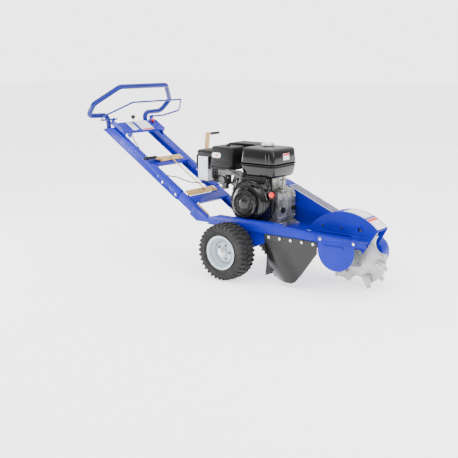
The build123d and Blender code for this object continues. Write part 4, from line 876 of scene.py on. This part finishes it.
def shroud():
    """The blower's upper cowl, rising under the tank, with a folded lip."""
    low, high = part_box("fan_housing")
    x = middle("crankshaft").x
    tank_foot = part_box("fuel_tank")[0].z
    cowl = brick("upper_cowl", (x - 0.094, low.y + 0.030, high.z - 0.060),
                 (x + 0.128, low.y + 0.066, tank_foot + 0.003), 0)
    tapered(cowl, 1, (0.84, 0.8, 1))
    rounded(cowl, 0.008, 3)
    lip = brick("cowl lip", (x - 0.090, low.y + 0.026, tank_foot - 0.014),
                (x + 0.110, low.y + 0.030, tank_foot - 0.009), 0.001, 2)
    return joined("upper_cowl", [cowl, lip])


def linkage():
    """Governor arm, springs, throttle plate and screws between the air cleaner and the tank."""
    low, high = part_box("air_cleaner")
    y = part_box("fan_housing")[0].y + 0.014
    plate = brick("governor", (high.x - 0.030, y + 0.010, low.z - 0.020),
                  (high.x + 0.092, y + 0.013, low.z + 0.012), 0.002, 2)
    arm = brick("governor arm", (-0.045, -0.0015, -0.005), (0.045, 0.0015, 0.005), 0.002, 2)
    placed(arm, Matrix.Rotation(radians(18), 4, "Y"))
    placed(arm, Matrix.Translation((high.x + 0.030, y + 0.004, low.z - 0.006)))
    coils = [(0.0032 if i % 2 else 0.0045, -0.024 + i * 0.002) for i in range(25)]
    spring = turned("governor spring", [(0, -0.026), *coils, (0, 0.026)], ORIGIN, "X", 20)
    placed(spring, Matrix.Rotation(radians(-8), 4, "Y"))
    placed(spring, Matrix.Translation((high.x + 0.040, y + 0.001, low.z + 0.006)))
    screws = [hexagon("governor screw", (high.x + across, y + 0.008, low.z + up), "Y", 0.006, 0.005)
              for across, up in ((-0.022, 0.004), (0.018, -0.014), (0.062, 0.004), (0.084, -0.012))]
    knob = turned("idle screw", [(0, 0), (0.005, 0), (0.005, 0.012), (0, 0.012)],
                  (high.x - 0.002, y - 0.004, low.z - 0.034), "Y", 24)
    return joined("governor", [plate, arm, spring, knob, *screws])


def shield_cap():
    """Moulded cap over the pale shield, with a black strip down each side that is painted shade."""
    low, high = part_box("shield_cap")
    shield_low, shield_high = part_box("heat_shield")
    cap = brick("shield_top", (low.x, low.y, low.z - 0.006), high, 0)
    rounded(cap, 0.017, 5)
    # the black strips down the shield's sides are painted shade
    painted_shade_strips = [brick("painted shade strip", (x, low.y + 0.002, low.z - 0.075),
                    (x + 0.012, low.y + 0.030, low.z + 0.006), 0.004, 3)
              for x in (shield_low.x - 0.008, shield_high.x - 0.006)]
    return joined("shield_top", [cap, *painted_shade_strips])


def engine():
    """The engine's covers, tank, starter, exhaust and small fittings."""
    fit(intake_body(), "frame", BLACK_MATT)
    fit(shroud(), "frame", BLACK_GLOSS)
    fit(linkage(), "frame", DARK_STEEL)
    # the shield cap's black side strips are painted shade
    fit(shield_cap(), "frame", BLACK_MATT, "shield_cap")
    fit(fuel_tank(), "frame", BLACK_GLOSS, "fuel_tank")
    fit(fuel_cap(), "fuel_cap", STEEL, "fuel_cap")
    fit(air_cleaner(), "frame", BLACK_MATT, "air_cleaner")
    fit(wing_nut(), "frame", BLACK_MATT)
    fit(blower_housing(), "frame", BLACK_GLOSS, "fan_housing")
    fit(starter_cover(), "frame", BLACK_GLOSS, "recoil_cover")
    fit(starter_grip(), "recoil_handle", BLACK_MATT, "recoil_handle")
    fit(exhaust(), "frame", BLACK_MATT)
    engine_fittings()
    fit(eased("switch_knob", 0.0015), "switch_knob", RED, "switch_knob")


# ------------------------------------------------------------ cutter head
def guard_fittings():
    """Folded bead and pressed rib on the near guard, with the dome's hinge strip."""
    bar_low, bar_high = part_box("side_bar")
    plate_low, plate_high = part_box("side_plate")
    near = bar_low.y
    bead = brick("guard_bead", (bar_low.x + 0.020, near - 0.004, bar_high.z - 0.008),
                 (bar_high.x - 0.012, near + 0.001, bar_high.z - 0.001), 0.002, 3)
    rib = brick("guard rib", (plate_low.x + 0.034, near - 0.005, bar_low.z - 0.024),
                (plate_high.x - 0.060, near + 0.001, bar_low.z - 0.014), 0.003, 3)
    dome_low, dome_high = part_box("cutter_housing")
    strip = brick("hinge strip", (dome_low.x + 0.060, dome_low.y - 0.006, bar_low.z + 0.002),
                  (dome_high.x - 0.060, dome_low.y + 0.001, bar_low.z + 0.010), 0.002, 3)
    fit(joined("guard_bead", [bead, rib, strip]), "frame", BLUE)
    stud_at = (dome_low.x + 0.110, dome_low.y - 0.003, bar_high.z + 0.012)
    stud = hexagon("dome_studs", stud_at, "Y", 0.007, 0.006)
    fit(row(stud, 3, (0.120, 0, 0)), "frame", DARK_STEEL)


def cutter():
    """The wheel and its teeth, with two bolts and a carbide tip on each tooth."""
    fit(eased("cutter_wheel", 0.0012), "cutter", PALE_STEEL, "cutter_wheel")
    fit(eased("cutter_teeth", 0.0015), "cutter", PALE_STEEL, "cutter_teeth")
    shaft = middle("cutter_shaft")
    at = Vector((shaft.x, 0, shaft.z))
    teeth_low, teeth_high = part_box("cutter_teeth")
    right = (teeth_low.y - 0.003, teeth_low.y + 0.0025, teeth_low.y + 0.0145)
    left = (teeth_high.y + 0.003, teeth_high.y - 0.0150, teeth_high.y - 0.0020)
    heads, tips = [], []
    for lobe in range(LOBES):
        for place in range(TEETH):
            turn = around(at, "Y", -radians(TOOTH_START - TOOTH_STEP * place + 360 / LOBES * lobe))
            bolt_y, tip_near, tip_far = left if place % 2 else right
            for along in (0.128, 0.150):
                head = hexagon("pocket_bolts", at + Vector((along, bolt_y, 0.002)), "Y", 0.0075, 0.006)
                heads.append(placed(head, turn))
            tip = brick("carbide_tips", at + Vector((0.176, tip_near, -0.0192)),
                        at + Vector((0.1872, tip_far, 0.0035)), 0)
            tips.append(placed(tip, turn))
    fit(joined("pocket_bolts", heads), "cutter", STEEL)
    fit(rounded(joined("carbide_tips", tips), 0.0008, 2), "cutter", CARBIDE)


def expanded_metal():
    """Diamond mesh strip in a narrow frame over the belt guard's open top."""
    low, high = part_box("belt_mesh")
    tilt = atan2(high.z - low.z, high.x - low.x)
    length = (Vector((high.x, 0, low.z)) - Vector((low.x, 0, high.z))).length
    width = high.y - low.y
    pitch, thick = 0.0190, 0.0014
    strand = brick("guard_mesh", (-0.0014, -0.0008, 0), (0.0014, pitch * 0.5, thick * 2))
    bpy.ops.object.mode_set(mode="EDIT")
    pick_faces(strand, lambda c, n: n.y > 0.5)
    bpy.ops.transform.translate(value=(pitch * 0.5, 0, 0))
    bpy.ops.object.mode_set(mode="OBJECT")
    flip = twin(strand, "strand", Matrix.Translation((pitch, 0, 0)) @ Matrix.Scale(-1, 4, (1, 0, 0)))
    cell = joined("guard_mesh", [strand, flip])
    upper = twin(cell, "cell", Matrix.Scale(-1, 4, (0, 1, 0)))
    cell = joined("guard_mesh", [cell, upper])
    columns, lines = int(length / pitch) - 1, int(width / pitch)
    apply(cell, "ARRAY", count=columns, use_relative_offset=False, use_constant_offset=True,
          constant_offset_displace=(pitch, 0, 0))
    apply(cell, "ARRAY", count=lines, use_relative_offset=False, use_constant_offset=True,
          constant_offset_displace=(0, pitch, 0))
    spare_x = (length - columns * pitch) / 2
    spare_y = (width - lines * pitch) / 2 + pitch / 2
    placed(cell, Matrix.Translation((spare_x, spare_y, -thick * 2)))
    edge = 0.005
    sides = [
        brick("mesh edge", (0, 0, -0.0024), (length, edge, 0.0006), 0.0008, 2),
        brick("mesh edge", (0, width - edge, -0.0024), (length, width, 0.0006), 0.0008, 2),
        brick("mesh edge", (0, 0, -0.0024), (edge, width, 0.0006), 0.0008, 2),
        brick("mesh edge", (length - edge, 0, -0.0024), (length, width, 0.0006), 0.0008, 2)]
    strip = joined("guard_mesh", [cell, *sides])
    placed(strip, Matrix.Translation((low.x, low.y, high.z)) @ Matrix.Rotation(tilt, 4, "Y"))
    fit(strip, "frame", MESH, "belt_mesh")


# ------------------------------------------------------------ rubber skirts
def hanging_flap(name, outline):
    """A rubber sheet cut to an outline of (along, height), finely divided to hang in a curve."""
    left, right = min(x for x, _ in outline), max(x for x, _ in outline)
    foot, top = min(z for _, z in outline), max(z for _, z in outline)
    flap = fresh("grid", name, x_subdivisions=48, y_subdivisions=36, size=1, rotation=(pi / 2, 0, 0),
                 location=((left + right) / 2, 0, (foot + top) / 2))
    flap.scale = (right - left, top - foot, 1)
    settle(flap)
    bpy.ops.object.mode_set(mode="EDIT")
    for (x0, z0), (x1, z1) in zip(outline, outline[1:] + outline[:1]):
        bpy.ops.mesh.select_all(action="SELECT")
        side = Vector((z1 - z0, 0, x0 - x1))
        bpy.ops.mesh.bisect(plane_co=(x0, 0, z0), plane_no=-side, clear_outer=True)
    bpy.ops.mesh.select_all(action="SELECT")
    bpy.ops.mesh.normals_make_consistent(inside=False)
    bpy.ops.object.mode_set(mode="OBJECT")
    return flap


def side_skirt():
    """The side flap: flat under its bolts, then rolled inwards along a slanting fold."""
    low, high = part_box("side_skirt")
    thick = 0.0045
    outline = [(low.x, high.z), (high.x, high.z), (high.x, 0.218), (high.x - 0.130, low.z + 0.012),
               (high.x - 0.150, low.z), (low.x + 0.030, low.z)]
    flap = hanging_flap("side_flap", outline)
    depth = high.z - low.z
    for vertex in flap.data.vertices:
        drop = max(0.0, (high.z - 0.030 - vertex.co.z) / depth)
        fold = low.x + 0.012 + 0.62 * (high.z - vertex.co.z)
        behind = fold - vertex.co.x
        swell = 0.026 * drop * (1.0 - min(1.0, abs(behind) / 0.12) ** 2) ** 1.5
        curl = 0.075 * drop * max(0.0, behind / 0.16) ** 1.3
        vertex.co.y = low.y + thick / 2 - swell + curl + 0.012 * drop ** 2
    apply(flap, "SOLIDIFY", thickness=thick, offset=0.0)
    return smooth(flap, 60)


def rear_skirt():
    """The flap across the machine, slightly waved at its foot."""
    low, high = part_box("rear_skirt")
    thick = 0.005
    outline = [(low.y, high.z), (high.y, high.z), (high.y, low.z), (low.y, low.z)]
    flap = hanging_flap("rear_flap", outline)
    for vertex in flap.data.vertices:
        along, z = vertex.co.x, vertex.co.z
        drop = max(0.0, (high.z - 0.040 - z) / (high.z - low.z))
        wave = 0.006 * drop * sin(along * 26) + 0.012 * drop ** 2
        vertex.co = Vector(((low.x + high.x) / 2 + 0.0008 - wave, along, z))
    apply(flap, "SOLIDIFY", thickness=thick, offset=0.0)
    return smooth(flap, 60)


def skirts():
    """Both rubber skirts."""
    fit(side_skirt(), "frame", RUBBER, "side_skirt")
    fit(rear_skirt(), "frame", RUBBER, "rear_skirt")


# ------------------------------------------------------------ hand controls
def sleeve(name, radius, low, high, axis_at):
    """A ribbed dipped grip along Y."""
    outline = [(radius - 0.0015, low), (radius, low + 0.002)]
    ribs = 9
    for i in range(1, ribs):
        y = low + 0.004 + (high - low - 0.010) * i / ribs
        outline += [(radius, y - 0.0016), (radius - 0.0008, y), (radius, y + 0.0016)]
    outline += [(radius, high - 0.004), (radius - 0.003, high), (0, high), (0, low), (radius - 0.0015, low)]
    return turned(name, outline, axis_at, steps=32)


def stout(node, extra):
    """A copy of a bent bar, let out all round."""
    bar = eased(node, 0.0002)
    only(bar)
    bpy.ops.object.mode_set(mode="EDIT")
    bpy.ops.mesh.select_all(action="SELECT")
    bpy.ops.transform.shrink_fatten(value=extra)
    bpy.ops.object.mode_set(mode="OBJECT")
    return smooth(bar, 50)


def controls():
    """Handlebar, bail, knobs, the dipped grips of both levers and the stop button's collar."""
    fit(stout("handlebar", 0.003), "frame", BAR_BLUE, "handlebar")
    fit(stout("bail", 0.001), "bail", BAR_BLUE, "bail")
    low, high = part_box("throttle_knob")
    ball = fresh("uv_sphere", "throttle_ball", segments=40, ring_count=24,
                 radius=(high.y - low.y) / 2 + 0.003, location=(low + high) / 2)
    settle(ball)
    fit(smooth(ball, 60), "throttle", BLACK_GLOSS, "throttle_knob")
    fit(eased("stop_button", 0.0012), "stop_button", RED, "stop_button")
    lever_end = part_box("lock_lever")[0].y
    grip = sleeve("lock_grip", 0.0098, lever_end + 0.092, lever_end - 0.0005, on_slope(*LOCK_GRIP_AT))
    fit(grip, "lock_lever", BLACK_MATT)
    swing_low, swing_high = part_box("swing_lever")
    swing_at = Vector((SWING_GRIP_X, 0, swing_high.z - 0.010))
    swing_grip = sleeve("swing_grip", 0.0088, swing_low.y + 0.020, swing_high.y + 0.0005, swing_at)
    fit(swing_grip, "swing_lever", BLACK_MATT)
    collar = turned("stop_collar", [
        (0.0086, 0), (0.0135, 0), (0.0135, 0.0025), (0.0115, 0.0040), (0.0086, 0.0040), (0.0086, 0)],
        ORIGIN, "Z", 40)
    placed(collar, Matrix.Rotation(SLOPE, 4, "Y"))
    placed(collar, Matrix.Translation(on_slope(*STOP_BUTTON_AT)))
    fit(collar, "frame", BLACK_MATT)


def decal(name, matrix, length, width, corner, coat):
    """A thin film label with rounded corners, laid by a matrix."""
    film = brick(name, (-length / 2, -width / 2, 0), (length / 2, width / 2, FILM))
    round_edges(film, corner, 8, upright)
    placed(film, matrix)
    return fit(smooth(film), "frame", coat)


def dome_film(name, length, width, turn, corner, coat, lift=FILM):
    """A film bent round the dome's top, turned from its crown and in the middle of its width."""
    low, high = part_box("cutter_housing")
    across = (low.y + high.y) / 2
    rise = high.z - DOME_AXIS_Z + lift
    cuts = 24
    film = brick(name, (-length / 2, -width / 2, 0), (length / 2, width / 2, FILM))
    round_edges(film, corner, 8, upright)
    bpy.ops.object.mode_set(mode="EDIT")
    for i in range(1, cuts):
        bpy.ops.mesh.select_all(action="SELECT")
        bpy.ops.mesh.bisect(plane_co=(-length / 2 + length * i / cuts, 0, 0), plane_no=(1, 0, 0))
    bpy.ops.object.mode_set(mode="OBJECT")
    for vertex in film.data.vertices:
        angle = vertex.co.x / rise
        radius = rise + vertex.co.z
        vertex.co = Vector((radius * sin(angle), vertex.co.y + across, radius * cos(angle)))
    placed(film, Matrix.Translation((DOME_AXIS_X, 0, DOME_AXIS_Z)) @ Matrix.Rotation(turn, 4, "Y"))
    return fit(smooth(film), "frame", coat)


def decals():
    """Plain label films where the machine has them: pale, with a red band on some."""
    dome_film("dome_band", 0.136, 0.100, radians(10.5), 0.004, PALE_SHEET)
    dome_film("dome_oval", 0.104, 0.044, radians(11), 0.0215, LABEL, 2 * FILM)
    dome_film("dome_card", 0.086, 0.100, radians(34.5), 0.003, LABEL)
    dome_film("dome_card_band", 0.020, 0.096, radians(28.5), 0.002, RED, 2 * FILM)
    slope = Matrix.Rotation(SLOPE, 4, "Y")
    decal("panel_film", Matrix.Translation(on_slope(0.129, 0.022, PANEL_FACE)) @ slope,
          0.094, 0.110, 0.004, PALE_SHEET)
    decal("panel_band", Matrix.Translation(on_slope(0.168, 0.022, PANEL_FACE + FILM)) @ slope,
          0.012, 0.104, 0.001, RED)
    decal("throttle_film", Matrix.Translation(on_slope(0.127, -0.092, PANEL_FACE)) @ slope,
          0.086, 0.038, 0.003, PALE_SHEET)
    decal("deck_film", Matrix.Translation((0.560, -0.150, DECK_TOP + FILM)), 0.090, 0.014, 0.002, LABEL)
    tank_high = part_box("fuel_tank")[1]
    front = Matrix.Translation((tank_high.x - 0.0012, 0, tank_high.z - 0.055))
    front = front @ Matrix.Rotation(radians(86), 4, "Y")
    decal("tank_film", front, 0.038, 0.062, 0.003, LABEL)
    decal("tank_band", front @ Matrix.Translation((-0.012, 0, 0.0007)), 0.012, 0.058, 0.002, RED)
    filter_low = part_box("air_cleaner")[0]
    near = Matrix.Translation((middle("air_cleaner").x - 0.030, filter_low.y + 0.0022, filter_low.z + 0.085))
    near = near @ Matrix.Rotation(radians(86), 4, "X")
    decal("filter_film", near, 0.066, 0.030, 0.0145, LABEL)
    decal("filter_dot", near @ Matrix.Translation((0.004, 0, FILM)), 0.014, 0.014, 0.0069, RED)


# ------------------------------------------------------------ room
def room():
    """Pale floor, even studio light, and the camera at the machine's right front."""
    floor = fresh("plane", "floor", size=60)
    paper = bpy.data.materials.new("studio paper")
    paper.use_nodes = True
    shader = paper.node_tree.nodes["Principled BSDF"]
    shader.inputs["Base Color"].default_value = (0.93, 0.93, 0.94, 1)
    shader.inputs["Roughness"].default_value = 0.9
    shader.inputs["Emission Color"].default_value = (1, 1, 1, 1)
    shader.inputs["Emission Strength"].default_value = FLOOR_GLOW
    floor.data.materials.append(paper)
    world = bpy.context.scene.world or bpy.data.worlds.new("studio")
    bpy.context.scene.world = world
    world.use_nodes = True
    nodes, link = world.node_tree.nodes, world.node_tree.links.new
    sky = nodes["Background"]
    place = nodes.new("ShaderNodeTexCoord")
    parts = nodes.new("ShaderNodeSeparateXYZ")
    climb = nodes.new("ShaderNodeMapRange")
    climb.inputs["From Min"].default_value = 0.0
    climb.inputs["From Max"].default_value = 0.75
    climb.inputs["To Min"].default_value = 0.55
    climb.inputs["To Max"].default_value = 2.4
    seen = nodes.new("ShaderNodeLightPath")
    choose = nodes.new("ShaderNodeMix")
    choose.inputs["B"].default_value = BACKDROP_GLOW
    link(place.outputs["Generated"], parts.inputs["Vector"])
    link(parts.outputs["Z"], climb.inputs["Value"])
    link(climb.outputs["Result"], choose.inputs["A"])
    link(seen.outputs["Is Camera Ray"], choose.inputs["Factor"])
    link(choose.outputs["Result"], sky.inputs["Strength"])
    sky.inputs["Color"].default_value = (1, 1, 1, 1)
    for name, spot, aim, power, size in (
            ("key", (0.6, -3.2, 3.2), (0.1, 0, 0.3), 60, 2.0),
            ("side", (-2.6, -1.75, 0.6), (0.4, -0.2, 0.2), 45, 0.8),
            ("front", (3.6, -0.8, 2.0), (0.2, 0, 0.4), 60, 1.6),
            ("top", (-0.4, 0.6, 4.0), (0, 0, 0.3), 90, 3.0)):
        lamp = bpy.data.lights.new(name, "AREA")
        lamp.energy = power
        lamp.size = size
        holder = bpy.data.objects.new(name, lamp)
        holder.location = spot
        holder.rotation_euler = (Vector(aim) - Vector(spot)).to_track_quat("-Z", "Y").to_euler()
        bpy.context.scene.collection.objects.link(holder)
    lens = bpy.data.cameras.new("camera")
    lens.lens = LENS
    camera = bpy.data.objects.new("camera", lens)
    camera.location = CAMERA_AT
    level = Vector((-sin(CAMERA_TURN), cos(CAMERA_TURN), 0))
    look = level * cos(CAMERA_DIP) - Vector((0, 0, sin(CAMERA_DIP)))
    camera.rotation_euler = look.to_track_quat("-Z", "Y").to_euler()
    bpy.context.scene.collection.objects.link(camera)
    bpy.context.scene.camera = camera


room()
frame_steel()
plain_nodes()
road_wheels()
engine()
cutter()
guard_fittings()
expanded_metal()
skirts()
controls()
decals()
